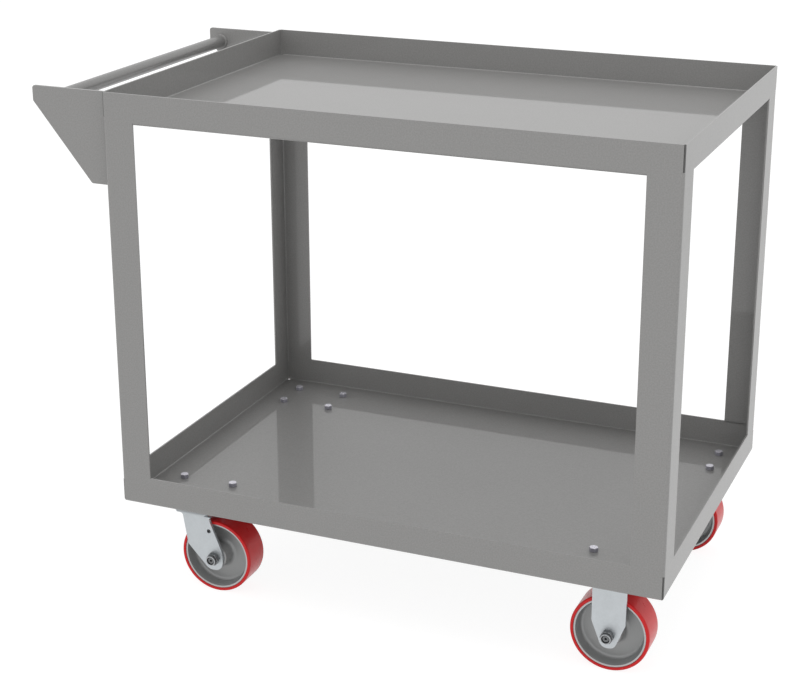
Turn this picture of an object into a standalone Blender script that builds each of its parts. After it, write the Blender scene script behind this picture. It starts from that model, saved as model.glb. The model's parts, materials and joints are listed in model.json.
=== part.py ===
"""Two-shelf steel utility cart: two folded sheet trays on four corner posts, a push handle at the
left end, two swivel casters under the handle and two rigid casters under the other end.

Metres, +Z up. X runs along the deck, away from the handle, and Y across it, front to back. The
origin is on the ground, under the middle of the cart's overall length and width.
"""

import math

import bmesh
import bpy
from mathutils import Matrix, Vector

# Fits shared by all pieces
GAP = 0.0003  # between pieces that rest on each other
RUNNING_GAP = 0.0005  # round balls in their races
OVERRUN = 0.010  # how far a cutter passes the piece it cuts
JOIN_OVERLAP = 0.001  # how far joined solids reach into each other
WELD_DISTANCE = 0.000001
ARC_STEP = math.radians(24)

# Deck and trays
DECK_LENGTH = 0.9144
DECK_WIDTH = 0.6096
DECK_HEIGHT = 0.8509  # ground to the top tray's rim
LIP_HEIGHT = 0.0485
SHEET = 0.00266
SHEET_BEND = 0.005  # outer radius of every fold
FOLD_STEPS = 3
RELIEF_RADIUS = 0.003  # hole where two folds would meet
RELIEF_STEPS = 10
POST_SEAT = 0.0096  # how far a post's end reaches up or down a lip

# Posts
POST_FLANGE = 0.0524

# Handle
HANDLE_REACH = 0.1353  # how far the plates stand out from the deck's end
HANDLE_INSET = 0.0143  # deck's side to a plate's outer face
HANDLE_PLATE = 0.00476
HANDLE_PLATE_DROP = 0.0025  # rim of the tray to the plate's top edge
HANDLE_PLATE_HEIGHT = 0.1489
HANDLE_NOSE_HEIGHT = 0.0245  # upright outer edge of a plate
HANDLE_FOOT = 0.0345  # bottom edge of a plate
HANDLE_CORNER = 0.0045
TUBE_RADIUS = 0.0111
TUBE_WALL = 0.0021
TUBE_FROM_NOSE = 0.0225  # plate's outer edge to the tube's centre
TUBE_DROP = 0.024  # plate's top edge to the tube's centre
BEAD_SIZE = 0.0034  # leg of the weld bead round each end of the tube
BEAD_HOLLOW_SHARE = 0.4  # share of its leg that a bead's face keeps at 45 degrees
TUBE_STEPS = 20

# Caster plates and their bolts
CASTER_INSET_X = 0.09525  # deck's end to a caster's centre
CASTER_INSET_Y = 0.08255
PLATE_LENGTH = 0.1143
PLATE_WIDTH = 0.1016
PLATE_THICKNESS = 0.00635
PLATE_CORNER = 0.008
BOLT_INSET_X = 0.0111  # plate's end and side to a bolt's centre
BOLT_INSET_Y = 0.01745
BOLT_RADIUS = 0.00397
BOLT_HOLE_CLEARANCE = 0.0004
BOLT_HEAD_ACROSS = 0.0127
BOLT_HEAD_HEIGHT = 0.0066
BOLT_TAIL = 0.002  # how far a bolt shows past its nut
NUT_HEIGHT = 0.0084
CHAMFER = 0.0009
BOLT_STEPS = 6
BOLT_HOLE_STEPS = 6

# Wheels
WHEEL_RADIUS = 0.0635
WHEEL_WIDTH = 0.0508
TREAD_THICKNESS = 0.0052
TREAD_EDGE = 0.003
TREAD_STEPS = 26
RIM_INSET = 0.0012  # tread's side to the rim's
RIM_BEAD = 0.0036
RIM_SLOPE = 0.0032  # how far the rim thickens from its bead to the web
RIM_FILLET = 0.005
WEB_THICKNESS = 0.009
HUB_PROUD = 0.0019  # how far the hub's end stands past the tread's side
HUB_RADIUS = 0.0195
HUB_FOOT_RADIUS = 0.0215  # where the hub's tapered side meets the web
HUB_STEPS = 22
SLEEVE_RADIUS = 0.0094
ROLLER_RADIUS = 0.0025
ROLLER_SEAT = 0.0006  # how deep the rollers are bedded in the sleeve
ROLLER_COUNT = 6
ROLLER_STEPS = 5
SLEEVE_STEPS = 12

# Axles
AXLE_RADIUS = 0.00635
AXLE_HEAD_ACROSS = 0.01905
AXLE_HEAD_HEIGHT = 0.0078
AXLE_NUT_HEIGHT = 0.0085
AXLE_COLLAR_HEIGHT = 0.0036
AXLE_COLLAR_RADIUS = 0.0081
AXLE_TAIL = 0.0012
AXLE_PIT_RADIUS = 0.0017
AXLE_PIT_DEPTH = 0.003
AXLE_STEPS = 12

# Forks
FORK_SHEET = 0.00476
HUB_CLEARANCE = 0.0005  # hub's end to a leg
FORK_BEND = 0.009
LEG_TIP_DROP = 0.0219  # axle's centre to a leg's tip
RIGID_LEG_WIDTH = 0.054
RIGID_TAPER_RISE = 0.0215  # axle's centre up to where the leg starts to narrow
RIGID_TAPER_RADIUS = 0.008
RIGID_TIP_WIDTH = 0.020
RIGID_TIP_RADIUS = 0.013

# Swivel forks, whose legs sweep from the king pin to the axle
LEAD = 0.0425  # king pin to axle
CROWN_RADIUS = 0.041
CROWN_CLEARANCE = 0.01127  # over the tread, up to the crown's underside
SHOULDER_DROP = 0.002  # crown's underside to where a leg starts
SHOULDER_RADIUS = 0.005
TRIM_DROP = 0.0005  # how far below the shoulders the crown is round
SHOULDER_AHEAD = 0.0329  # king pin to a leg's front and back edges at the shoulder
SHOULDER_BEHIND = 0.0145
HEEL_BEHIND = 0.0055  # king pin back to the corner in a leg's rear edge
HEEL_RISE = 0.0184  # and that corner's height over the axle
HEEL_RADIUS = 0.008
KNEE_RISE = 0.011
KNEE_RADIUS = 0.045
LEG_TIP_AHEAD = 0.0157
LEG_TIP_BEHIND = 0.0102
LEG_TIP_RADIUS = 0.0150
LOCK_HOLE_RADIUS = 0.003
LOCK_HOLE_BEHIND = 0.0085
LOCK_HOLE_RISE = 0.0473
LOCK_HOLE_STEPS = 8

# Swivel bearings
BALL_RADIUS = 0.00397
BALL_COUNT = 12
BALL_SINK_SHARE = 0.38  # share of its radius that a ball lies deep in each race
LOWER_BALL_RADIUS = 0.00238
LOWER_BALL_PITCH_RADIUS = 0.016
LOWER_BALL_COUNT = 8
BALL_SEGMENTS = 5
BALL_RINGS = 4
RACE_INSET = 0.002  # crown's edge to the race's
BALL_INSET = 0.009  # race's edge to the middle of the balls
RACE_BORE_INSET = 0.008  # and from there to the race's bore
RACE_HEIGHT = 0.0105
RACE_SKIRT = 0.003  # how far the dust skirt hangs below the race
RACE_SKIRT_WALL = 0.002
RACE_STEPS = 18
GROOVE_STEPS = 8
LOWER_RACE_RADIUS = 0.0225
LOWER_RACE_THICKNESS = 0.004
KINGPIN_RADIUS = 0.00794
KINGPIN_HEAD_RADIUS = 0.0115
KINGPIN_HEAD_DEPTH = 0.0036
KINGPIN_TAIL = 0.0011
KINGPIN_NUT_ACROSS = 0.0206
KINGPIN_NUT_HEIGHT = 0.008
KINGPIN_STEPS = 12

# Places that follow from the sizes above
BALL_LIFT = 2 * BALL_RADIUS * (1 - BALL_SINK_SHARE)  # between the two faces that balls run on
LOWER_BALL_LIFT = 2 * LOWER_BALL_RADIUS * (1 - BALL_SINK_SHARE)
CROWN_UNDERSIDE = 2 * WHEEL_RADIUS + CROWN_CLEARANCE
CROWN_HEIGHT = CROWN_UNDERSIDE + FORK_SHEET  # ground to the crown's top face
PLATE_UNDERSIDE = CROWN_HEIGHT + BALL_LIFT + RACE_HEIGHT
CASTER_HEIGHT = PLATE_UNDERSIDE + PLATE_THICKNESS + GAP  # ground to the bottom tray's underside
CENTRE_X = HANDLE_REACH / 2  # deck's middle, as seen from the origin
CASTER_X = DECK_LENGTH / 2 - CASTER_INSET_X
CASTER_Y = DECK_WIDTH / 2 - CASTER_INSET_Y
TOP_TRAY_HEIGHT = DECK_HEIGHT - LIP_HEIGHT
HANDLE_SPAN = DECK_WIDTH - 2 * HANDLE_INSET  # over both plates
RIM_WIDTH = WHEEL_WIDTH - 2 * RIM_INSET
HUB_LENGTH = WHEEL_WIDTH + 2 * HUB_PROUD
FORK_INSIDE = HUB_LENGTH + 2 * HUB_CLEARANCE  # between the legs
FORK_OUTSIDE = FORK_INSIDE + 2 * FORK_SHEET
RACE_RADIUS = CROWN_RADIUS - RACE_INSET
BALL_PITCH_RADIUS = RACE_RADIUS - BALL_INSET
RACE_BORE_RADIUS = BALL_PITCH_RADIUS - RACE_BORE_INSET
AXLE_HOLE_RADIUS = AXLE_RADIUS + GAP
KINGPIN_HOLE_RADIUS = KINGPIN_RADIUS + GAP
LOWER_RACE_TOP = CROWN_UNDERSIDE - LOWER_BALL_LIFT
KINGPIN_NUT_TOP = LOWER_RACE_TOP - LOWER_RACE_THICKNESS - GAP
BOLT_PLACES = [
    (side_x * (PLATE_LENGTH / 2 - BOLT_INSET_X), side_y * (PLATE_WIDTH / 2 - BOLT_INSET_Y))
    for side_x in (-1, 1)
    for side_y in (-1, 1)
]
CASTER_PLACES = {
    "front_left": (CENTRE_X - CASTER_X, -CASTER_Y),
    "back_left": (CENTRE_X - CASTER_X, CASTER_Y),
    "front_right": (CENTRE_X + CASTER_X, -CASTER_Y),
    "back_right": (CENTRE_X + CASTER_X, CASTER_Y),
}
ON_EDGE = math.radians(90)  # turns a flat or turned piece from Z to Y


def clear_scene():
    """Remove what the scene holds."""
    for old in list(bpy.data.objects):
        bpy.data.objects.remove(old, do_unlink=True)


def new_collection(name):
    """A collection of that name, in the scene."""
    group = bpy.data.collections.new(name)
    bpy.context.scene.collection.children.link(group)
    return group


clear_scene()
CART = new_collection("utility_cart")
CUTTERS = new_collection("cutters")


def surface(name, colour, roughness, metallic):
    """A material with a Principled BSDF."""
    material = bpy.data.materials.new(name)
    material.use_nodes = True
    shader = material.node_tree.nodes["Principled BSDF"]
    shader.inputs["Base Color"].default_value = (*colour, 1)
    shader.inputs["Roughness"].default_value = roughness
    shader.inputs["Metallic"].default_value = metallic
    return material


GREY_PAINT = surface("grey_paint", (0.27, 0.265, 0.255), 0.35, 0)
BRIGHT_ZINC = surface("bright_zinc", (0.56, 0.58, 0.60), 0.4, 0.7)
BLUE_ZINC = surface("blue_zinc", (0.42, 0.42, 0.55), 0.35, 0.8)
DARK_STEEL = surface("dark_steel", (0.12, 0.12, 0.12), 0.35, 0.9)
BALL_STEEL = surface("ball_steel", (0.55, 0.55, 0.55), 0.12, 1)
CAST_IRON = surface("cast_iron", (0.20, 0.21, 0.21), 0.4, 0.5)
RED_TREAD = surface("red_tread", (0.60, 0.03, 0.03), 0.3, 0)


def circumscribed(radius, steps):
    """The corner radius of a regular outline whose flats lie at the given radius."""
    return radius / math.cos(math.pi / steps)


def circle(radius, steps, centre=(0, 0)):
    """The points of a round outline."""
    turn = math.tau / steps
    return [
        (centre[0] + radius * math.cos(turn * step), centre[1] + radius * math.sin(turn * step))
        for step in range(steps)
    ]


def hole(radius, steps, centre=(0, 0)):
    """The points of a round hole that a shaft of that radius passes."""
    return circle(circumscribed(radius, steps), steps, centre)


def hexagon(across):
    """The points of a hexagon of the given size across its flats."""
    return hole(across / 2, 6)


def rounded(corners, closed=True):
    """The points of a path whose corners (x, y, radius) are rounded."""
    points = []
    last = len(corners) - 1
    for index, (x, y, radius) in enumerate(corners):
        corner = Vector((x, y))
        if not radius or (not closed and index in (0, last)):
            points.append(corner)
            continue
        back = (Vector(corners[index - 1][:2]) - corner).normalized()
        ahead = (Vector(corners[(index + 1) % len(corners)][:2]) - corner).normalized()
        turn = math.pi - back.angle(ahead)
        centre = corner + (back + ahead).normalized() * radius / math.cos(turn / 2)
        arm = corner + back * radius * math.tan(turn / 2) - centre
        far_arm = corner + ahead * radius * math.tan(turn / 2) - centre
        steps = max(1, math.ceil(turn / ARC_STEP))
        for step in range(steps + 1):
            points.append(centre + arm.slerp(far_arm, step / steps) * radius)
    return points


def new_object(name, mesh, material, group=None):
    """An object in the cart's collection, or in the given one, with its material and soft shading."""
    piece = bpy.data.objects.new(name, mesh)
    (group or CART).objects.link(piece)
    if material and not mesh.materials:
        mesh.materials.append(material)
    return piece


def mesh_of(name, bm):
    """The finished bmesh as a mesh."""
    mesh = bpy.data.meshes.new(name)
    bm.to_mesh(mesh)
    bm.free()
    return mesh


def flat(name, loops, thickness, material=None, group=None):
    """A flat piece in XY, centred on z = 0. The first loops are outlines and those inside them holes."""
    curve = bpy.data.curves.new(name, "CURVE")
    curve.dimensions = "2D"
    curve.fill_mode = "BOTH"
    curve.extrude = thickness / 2
    for loop in loops:
        spline = curve.splines.new("POLY")
        spline.points.add(len(loop) - 1)
        for point, (x, y) in zip(spline.points, loop):
            point.co = (x, y, 0, 1)
        spline.use_cyclic_u = True
    outline = bpy.data.objects.new(name, curve)
    bpy.context.scene.collection.objects.link(outline)
    mesh = evaluated_mesh(outline, name)
    bpy.data.objects.remove(outline)
    bpy.data.curves.remove(curve)
    bm = bmesh.new()
    bm.from_mesh(mesh)
    bmesh.ops.remove_doubles(bm, verts=bm.verts, dist=WELD_DISTANCE)
    bm.to_mesh(mesh)
    bm.free()
    return new_object(name, mesh, material, group)


def turned(name, profile, steps, material=None, group=None):
    """A turned piece round Z. Its half section (radius, height) runs down the outer side, and is a
    closed loop unless it starts on the axis."""
    bm = bmesh.new()
    points = [bm.verts.new((radius, 0, height)) for radius, height in profile]
    for start, end in zip(points, points[1:]):
        bm.edges.new((start, end))
    if profile[0][0]:
        bm.edges.new((points[-1], points[0]))
    piece = new_object(name, mesh_of(name, bm), material, group)
    screw = piece.modifiers.new("Turn", "SCREW")
    screw.steps = steps
    screw.render_steps = steps
    screw.use_merge_vertices = True
    screw.merge_threshold = WELD_DISTANCE
    return piece


def folded(name, path, width, thickness, material=None, group=None):
    """A folded sheet: its outer face follows the path in XZ and it runs along Y, with its body on the
    right of the path."""
    bm = bmesh.new()
    points = [bm.verts.new((x, -width / 2, z)) for x, z in path]
    edges = [bm.edges.new(pair) for pair in zip(points, points[1:])]
    swept = bmesh.ops.extrude_edge_only(bm, edges=edges)["geom"]
    for vert in [item for item in swept if isinstance(item, bmesh.types.BMVert)]:
        vert.co.y = width / 2
    bmesh.ops.recalc_face_normals(bm, faces=bm.faces)
    run = path[1] - path[0]
    if points[0].link_faces[0].normal.dot((-run.y, 0, run.x)) < 0:
        bmesh.ops.reverse_faces(bm, faces=bm.faces)
    piece = new_object(name, mesh_of(name, bm), material, group)
    thicken(piece, thickness)
    return piece


def thicken(piece, thickness):
    """Give an open surface its sheet thickness, inward from its outer face."""
    sheet = piece.modifiers.new("Sheet", "SOLIDIFY")
    sheet.thickness = thickness
    sheet.offset = -1
    sheet.use_even_offset = True


def cutter(piece):
    """Hide a piece that only cuts or trims others."""
    piece.hide_render = True
    piece.display_type = "WIRE"
    return piece


def combine(piece, other, operation):
    """Cut, trim or join a piece with another."""
    change = piece.modifiers.new(other.name, "BOOLEAN")
    change.object = cutter(other)
    change.operation = operation


def evaluated_mesh(piece, name):
    """The plain mesh that a piece and its modifiers give."""
    graph = bpy.context.evaluated_depsgraph_get()
    mesh = bpy.data.meshes.new_from_object(piece.evaluated_get(graph))
    mesh.name = name
    mesh.materials.clear()
    return mesh


def place(piece, location, parent=None, rotation=(0, 0, 0)):
    """Put a piece at its place, under its parent where it has one."""
    piece.location = location
    piece.rotation_euler = rotation
    piece.parent = parent
    return piece


def axis_point(name, location, parent=None):
    """An empty on a joint's axis, which carries the pieces that turn about it."""
    empty = bpy.data.objects.new(name, None)
    empty.empty_display_size = WHEEL_RADIUS
    CART.objects.link(empty)
    return place(empty, location, parent)


def four_corners(loop):
    """The loop, drawn inward from a corner at (0, 0), at each corner of the deck."""
    loops = []
    for side_x in (-1, 1):
        for side_y in (-1, 1):
            loops.append(
                [(side_x * (DECK_LENGTH / 2 - x), side_y * (DECK_WIDTH / 2 - y)) for x, y in loop]
            )
    return loops


def part_floor(bm, distance):
    """Part the pan's floor at that distance either way along X, which leaves a plain middle."""
    for side in (-1, 1):
        floor = [face for face in bm.faces if face.calc_center_median().z < WELD_DISTANCE]
        verts = {vert for face in floor for vert in face.verts}
        edges = {edge for face in floor for edge in face.edges}
        geom = [*verts, *edges, *floor]
        bmesh.ops.bisect_plane(bm, geom=geom, plane_co=(side * distance, 0, 0), plane_no=(1, 0, 0))


def make_tray(name, height, seat_height, bolt_holes):
    """A sheet pan with open corner seams. Notches at seat_height take the posts' ends."""
    bm = bmesh.new()
    bmesh.ops.create_cube(bm, size=1)
    bmesh.ops.scale(bm, verts=bm.verts, vec=(DECK_LENGTH, DECK_WIDTH, LIP_HEIGHT))
    bmesh.ops.translate(bm, verts=bm.verts, vec=(0, 0, LIP_HEIGHT / 2))
    rim = [face for face in bm.faces if face.normal.z > 0.5]
    bmesh.ops.delete(bm, geom=rim, context="FACES_ONLY")
    folds = [edge for edge in bm.edges if not any(vert.co.z > 0 for vert in edge.verts)]
    bmesh.ops.bevel(
        bm, geom=folds, offset=SHEET_BEND, segments=FOLD_STEPS, profile=0.5, affect="EDGES"
    )
    if bolt_holes:
        part_floor(bm, CASTER_X - PLATE_LENGTH)
    tray = new_object(name, mesh_of(name, bm), GREY_PAINT)
    thicken(tray, SHEET)

    cut_depth = SHEET + GAP
    seam = [(-OVERRUN, -OVERRUN), (cut_depth, -OVERRUN), (cut_depth, cut_depth), (-OVERRUN, cut_depth)]
    seams = flat(name + "_seams", four_corners(seam), 2 * (LIP_HEIGHT + OVERRUN), group=CUTTERS)
    combine(tray, seams, "DIFFERENCE")

    relief = circle(RELIEF_RADIUS, RELIEF_STEPS, (SHEET_BEND, SHEET_BEND))
    reliefs = flat(name + "_reliefs", four_corners(relief), 2 * SHEET_BEND, group=CUTTERS)
    combine(tray, reliefs, "DIFFERENCE")

    seat_length = POST_FLANGE + GAP
    seat = [
        (-OVERRUN, -OVERRUN),
        (seat_length, -OVERRUN),
        (seat_length, cut_depth),
        (cut_depth, cut_depth),
        (cut_depth, seat_length),
        (-OVERRUN, seat_length),
    ]
    seats = flat(name + "_post_seats", four_corners(seat), 2 * POST_SEAT, group=CUTTERS)
    combine(tray, seats, "DIFFERENCE")

    cutters = [seams, reliefs, seats]
    if bolt_holes:
        places = [
            (caster_x - CENTRE_X + bolt_x, caster_y + bolt_y)
            for caster_x, caster_y in CASTER_PLACES.values()
            for bolt_x, bolt_y in BOLT_PLACES
        ]
        loops = [hole(BOLT_RADIUS + BOLT_HOLE_CLEARANCE, BOLT_HOLE_STEPS, spot) for spot in places]
        holes = flat(name + "_bolt_holes", loops, 2 * OVERRUN, group=CUTTERS)
        combine(tray, holes, "DIFFERENCE")
        cutters.append(holes)

    place(tray, (CENTRE_X, 0, height))
    for item in cutters:
        place(item, (CENTRE_X, 0, height))
    seats.location.z = seat_height


def make_posts():
    """Four corner angles, each the same sheet turned to its corner."""
    foot = CASTER_HEIGHT + LIP_HEIGHT - POST_SEAT + GAP
    head = TOP_TRAY_HEIGHT + POST_SEAT - GAP
    path = rounded([(-POST_FLANGE, 0, 0), (0, 0, SHEET_BEND), (0, -POST_FLANGE, 0)], closed=False)
    corners = {
        "post_back_right": (1, 1, 0),
        "post_back_left": (-1, 1, 90),
        "post_front_left": (-1, -1, 180),
        "post_front_right": (1, -1, 270),
    }
    for name, (side_x, side_y, turn) in corners.items():
        post = folded(name, path, head - foot, SHEET, GREY_PAINT)
        post.data.transform(Matrix.Rotation(-ON_EDGE, 4, "X"))
        spot = (CENTRE_X + side_x * DECK_LENGTH / 2, side_y * DECK_WIDTH / 2, (foot + head) / 2)
        place(post, spot, rotation=(0, 0, math.radians(turn)))


def make_handle():
    """Two plates on the deck's end and the grip tube between them, which flares into its weld beads."""
    end_x = CENTRE_X - DECK_LENGTH / 2
    top = DECK_HEIGHT - HANDLE_PLATE_DROP
    outline = rounded(
        [
            (-GAP, 0, 0),
            (-HANDLE_REACH, 0, HANDLE_CORNER),
            (-HANDLE_REACH, -HANDLE_NOSE_HEIGHT, HANDLE_CORNER),
            (-HANDLE_FOOT, -HANDLE_PLATE_HEIGHT, HANDLE_CORNER),
            (-GAP, -HANDLE_PLATE_HEIGHT, 0),
        ]
    )
    plate_y = (HANDLE_SPAN - HANDLE_PLATE) / 2
    for name, side in (("handle_plate_front", -1), ("handle_plate_back", 1)):
        plate = flat(name, [outline], HANDLE_PLATE, GREY_PAINT)
        place(plate, (end_x, side * plate_y, top), rotation=(ON_EDGE, 0, 0))

    tube_spot = (end_x - HANDLE_REACH + TUBE_FROM_NOSE, 0, top - TUBE_DROP)
    half = HANDLE_SPAN / 2 - HANDLE_PLATE - GAP
    bore = TUBE_RADIUS - TUBE_WALL
    bead_face = TUBE_RADIUS + BEAD_SIZE
    bead_middle = BEAD_SIZE * BEAD_HOLLOW_SHARE
    upper = [
        (bead_face, half),
        (TUBE_RADIUS + bead_middle, half - bead_middle),
        (TUBE_RADIUS, half - BEAD_SIZE),
    ]
    lower = [(radius, -height) for radius, height in reversed(upper)]
    bore_line = [(bore, -half), (bore, half)]
    tube = turned("handle_tube", upper + lower + bore_line, TUBE_STEPS, GREY_PAINT)
    place(tube, tube_spot, rotation=(ON_EDGE, 0, 0))


def make_caster_bolts():
    """The hex bolts that hold the four casters, heads on the bottom tray's floor, each with its nut.
    Six sides draw the head and the nut, and serve for the plain shank between them."""
    head_foot = CASTER_HEIGHT + SHEET + GAP
    head_top = head_foot + BOLT_HEAD_HEIGHT
    nut_top = PLATE_UNDERSIDE - GAP
    tail = nut_top - NUT_HEIGHT - BOLT_TAIL
    corner = circumscribed(BOLT_HEAD_ACROSS / 2, BOLT_STEPS)
    profile = [
        (0, head_top),
        (corner, head_top),
        (corner, head_foot),
        (BOLT_RADIUS, head_foot),
        (BOLT_RADIUS, nut_top),
        (corner, nut_top),
        (corner, nut_top - NUT_HEIGHT),
        (BOLT_RADIUS, nut_top - NUT_HEIGHT),
        (BOLT_RADIUS, tail),
        (0, tail),
    ]
    bolt = turned("bolt_draft", profile, BOLT_STEPS)
    mesh = evaluated_mesh(bolt, "caster_bolt")
    bpy.data.objects.remove(bolt)
    for caster, (caster_x, caster_y) in CASTER_PLACES.items():
        for number, (bolt_x, bolt_y) in enumerate(BOLT_PLACES, 1):
            bolt = new_object("caster_bolt_%s_%d" % (caster, number), mesh, BLUE_ZINC)
            place(bolt, (caster_x + bolt_x, caster_y + bolt_y, 0))


def make_plate(name, x, y):
    """A caster's top plate, with its four bolt holes cut last."""
    half_x, half_y = PLATE_LENGTH / 2, PLATE_WIDTH / 2
    corners = ((1, 1), (-1, 1), (-1, -1), (1, -1))
    outline = rounded([(turn_x * half_x, turn_y * half_y, PLATE_CORNER) for turn_x, turn_y in corners])
    plate = flat(name, [outline], PLATE_THICKNESS, BRIGHT_ZINC)
    loops = [hole(BOLT_RADIUS + BOLT_HOLE_CLEARANCE, BOLT_HOLE_STEPS, spot) for spot in BOLT_PLACES]
    holes = flat(name + "_bolt_holes", loops, PLATE_THICKNESS + OVERRUN, group=CUTTERS)
    for piece in (plate, holes):
        place(piece, (x, y, PLATE_UNDERSIDE + PLATE_THICKNESS / 2))
    combine(plate, holes, "DIFFERENCE")
    return plate


def make_fork(name, length, top, side_loops, parent, spot):
    """A fork folded from one strip: two legs down from a crown, trimmed to its outline from the side.
    Its place and its outline are counted from the axle or the king pin, down on the ground."""
    half = FORK_OUTSIDE / 2
    foot = WHEEL_RADIUS - LEG_TIP_DROP - OVERRUN
    path = rounded(
        [(-half, foot, 0), (-half, top, FORK_BEND), (half, top, FORK_BEND), (half, foot, 0)], closed=False
    )
    fork = folded(name, path, length, FORK_SHEET, BRIGHT_ZINC)
    fork.data.transform(Matrix.Rotation(ON_EDGE, 4, "Z"))
    place(fork, spot, parent)
    side = flat(name + "_side", side_loops, FORK_OUTSIDE + OVERRUN, group=CUTTERS)
    place(side, spot, parent, (ON_EDGE, 0, 0))
    combine(fork, side, "INTERSECT")
    return fork


def make_rigid_caster(corner):
    """A plate, the fork under it and a wheel."""
    x, y = CASTER_PLACES[corner]
    make_plate("rigid_plate_" + corner, x, y)
    half = RIGID_LEG_WIDTH / 2
    tip = WHEEL_RADIUS - LEG_TIP_DROP
    taper = WHEEL_RADIUS + RIGID_TAPER_RISE
    outline = rounded(
        [
            (half, PLATE_UNDERSIDE, 0),
            (-half, PLATE_UNDERSIDE, 0),
            (-half, taper, RIGID_TAPER_RADIUS),
            (-RIGID_TIP_WIDTH / 2, tip, RIGID_TIP_RADIUS),
            (RIGID_TIP_WIDTH / 2, tip, RIGID_TIP_RADIUS),
            (half, taper, RIGID_TAPER_RADIUS),
        ]
    )
    loops = [outline, hole(AXLE_HOLE_RADIUS, AXLE_STEPS, (0, WHEEL_RADIUS))]
    length = RIGID_LEG_WIDTH + OVERRUN
    make_fork("rigid_fork_" + corner, length, PLATE_UNDERSIDE - GAP, loops, None, (x, y, 0))
    make_wheel(corner, (x, y, WHEEL_RADIUS), None)


def swivel_side_outline():
    """A swivel fork from the side, counted from the king pin: the crown, and a leg swept to the axle."""
    top = CROWN_HEIGHT + OVERRUN
    shoulder = CROWN_UNDERSIDE - SHOULDER_DROP
    tip = WHEEL_RADIUS - LEG_TIP_DROP
    return rounded(
        [
            (CROWN_RADIUS + OVERRUN, top, 0),
            (-CROWN_RADIUS - OVERRUN, top, 0),
            (-CROWN_RADIUS - OVERRUN, shoulder, 0),
            (-SHOULDER_BEHIND, shoulder, SHOULDER_RADIUS),
            (-HEEL_BEHIND, WHEEL_RADIUS + HEEL_RISE, HEEL_RADIUS),
            (LEAD - LEG_TIP_BEHIND, tip, LEG_TIP_RADIUS),
            (LEAD + LEG_TIP_AHEAD, tip, LEG_TIP_RADIUS),
            (LEAD + LEG_TIP_AHEAD, WHEEL_RADIUS + KNEE_RISE, KNEE_RADIUS),
            (SHOULDER_AHEAD, shoulder, SHOULDER_RADIUS),
            (CROWN_RADIUS + OVERRUN, shoulder, 0),
        ]
    )


def crown_trim(name, parent):
    """The cutter that leaves a swivel fork's crown round, down to just under its shoulders."""
    reach = 2 * (LEAD + LEG_TIP_AHEAD + CROWN_RADIUS)
    square = [(-reach, -reach), (reach, -reach), (reach, reach), (-reach, reach)]
    height = FORK_SHEET + SHOULDER_DROP + TRIM_DROP + OVERRUN
    trim = flat(name, [square, circle(CROWN_RADIUS, RACE_STEPS)], height, group=CUTTERS)
    return place(trim, (0, 0, CROWN_HEIGHT + OVERRUN - height / 2), parent)


def groove(name, ball_radius, pitch_radius, height, parent, spot):
    """A round groove for a ring of balls whose centres lie at that height."""
    radius = circumscribed(ball_radius + RUNNING_GAP, GROOVE_STEPS)
    pitch = circumscribed(pitch_radius, RACE_STEPS)
    bm = bmesh.new()
    ring = [bm.verts.new((pitch + x, 0, z)) for x, z in circle(radius, GROOVE_STEPS)]
    for start, end in zip(ring, ring[1:] + ring[:1]):
        bm.edges.new((end, start))
    piece = new_object(name, mesh_of(name, bm), None, CUTTERS)
    screw = piece.modifiers.new("Turn", "SCREW")
    screw.steps = RACE_STEPS
    screw.render_steps = RACE_STEPS
    screw.use_merge_vertices = True
    screw.merge_threshold = WELD_DISTANCE
    return place(piece, (spot[0], spot[1], height), parent)


def balls(name, ball_radius, pitch_radius, count, spot):
    """A ring of balls, to be joined to the race that carries them."""
    bm = bmesh.new()
    for x, y in circle(pitch_radius, count):
        bmesh.ops.create_uvsphere(
            bm,
            u_segments=BALL_SEGMENTS,
            v_segments=BALL_RINGS,
            radius=ball_radius,
            matrix=Matrix.Translation((x, y, 0)),
        )
    return place(new_object(name, mesh_of(name, bm), None, CUTTERS), spot)


def make_swivel_plate(corner, x, y, ball_height):
    """The fixed plate in one piece with the upper race, its dust skirt and the ring of balls in it."""
    name = "swivel_plate_" + corner
    plate = make_plate(name, x, y)
    race_foot = PLATE_UNDERSIDE - RACE_HEIGHT
    skirt_foot = race_foot - RACE_SKIRT
    join = PLATE_UNDERSIDE + JOIN_OVERLAP
    race = turned(
        name + "_race",
        [
            (RACE_RADIUS, join),
            (RACE_RADIUS, skirt_foot),
            (RACE_RADIUS - RACE_SKIRT_WALL, skirt_foot),
            (RACE_RADIUS - RACE_SKIRT_WALL, race_foot),
            (RACE_BORE_RADIUS, race_foot),
            (RACE_BORE_RADIUS, join),
        ],
        RACE_STEPS,
        group=CUTTERS,
    )
    place(race, (x, y, 0))
    combine(plate, race, "UNION")
    spot = (x, y, ball_height)
    combine(plate, balls(name + "_balls", BALL_RADIUS, BALL_PITCH_RADIUS, BALL_COUNT, spot), "UNION")

    head_top = PLATE_UNDERSIDE + PLATE_THICKNESS
    bore = circumscribed(KINGPIN_HOLE_RADIUS, KINGPIN_STEPS)
    sink = turned(
        name + "_king_pin_hole",
        [
            (0, head_top + OVERRUN),
            (KINGPIN_HEAD_RADIUS + GAP, head_top + OVERRUN),
            (KINGPIN_HEAD_RADIUS + GAP, head_top),
            (bore, head_top - KINGPIN_HEAD_DEPTH),
            (bore, PLATE_UNDERSIDE - OVERRUN),
            (0, PLATE_UNDERSIDE - OVERRUN),
        ],
        KINGPIN_STEPS,
        group=CUTTERS,
    )
    place(sink, (x, y, 0))
    combine(plate, sink, "DIFFERENCE")


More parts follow.
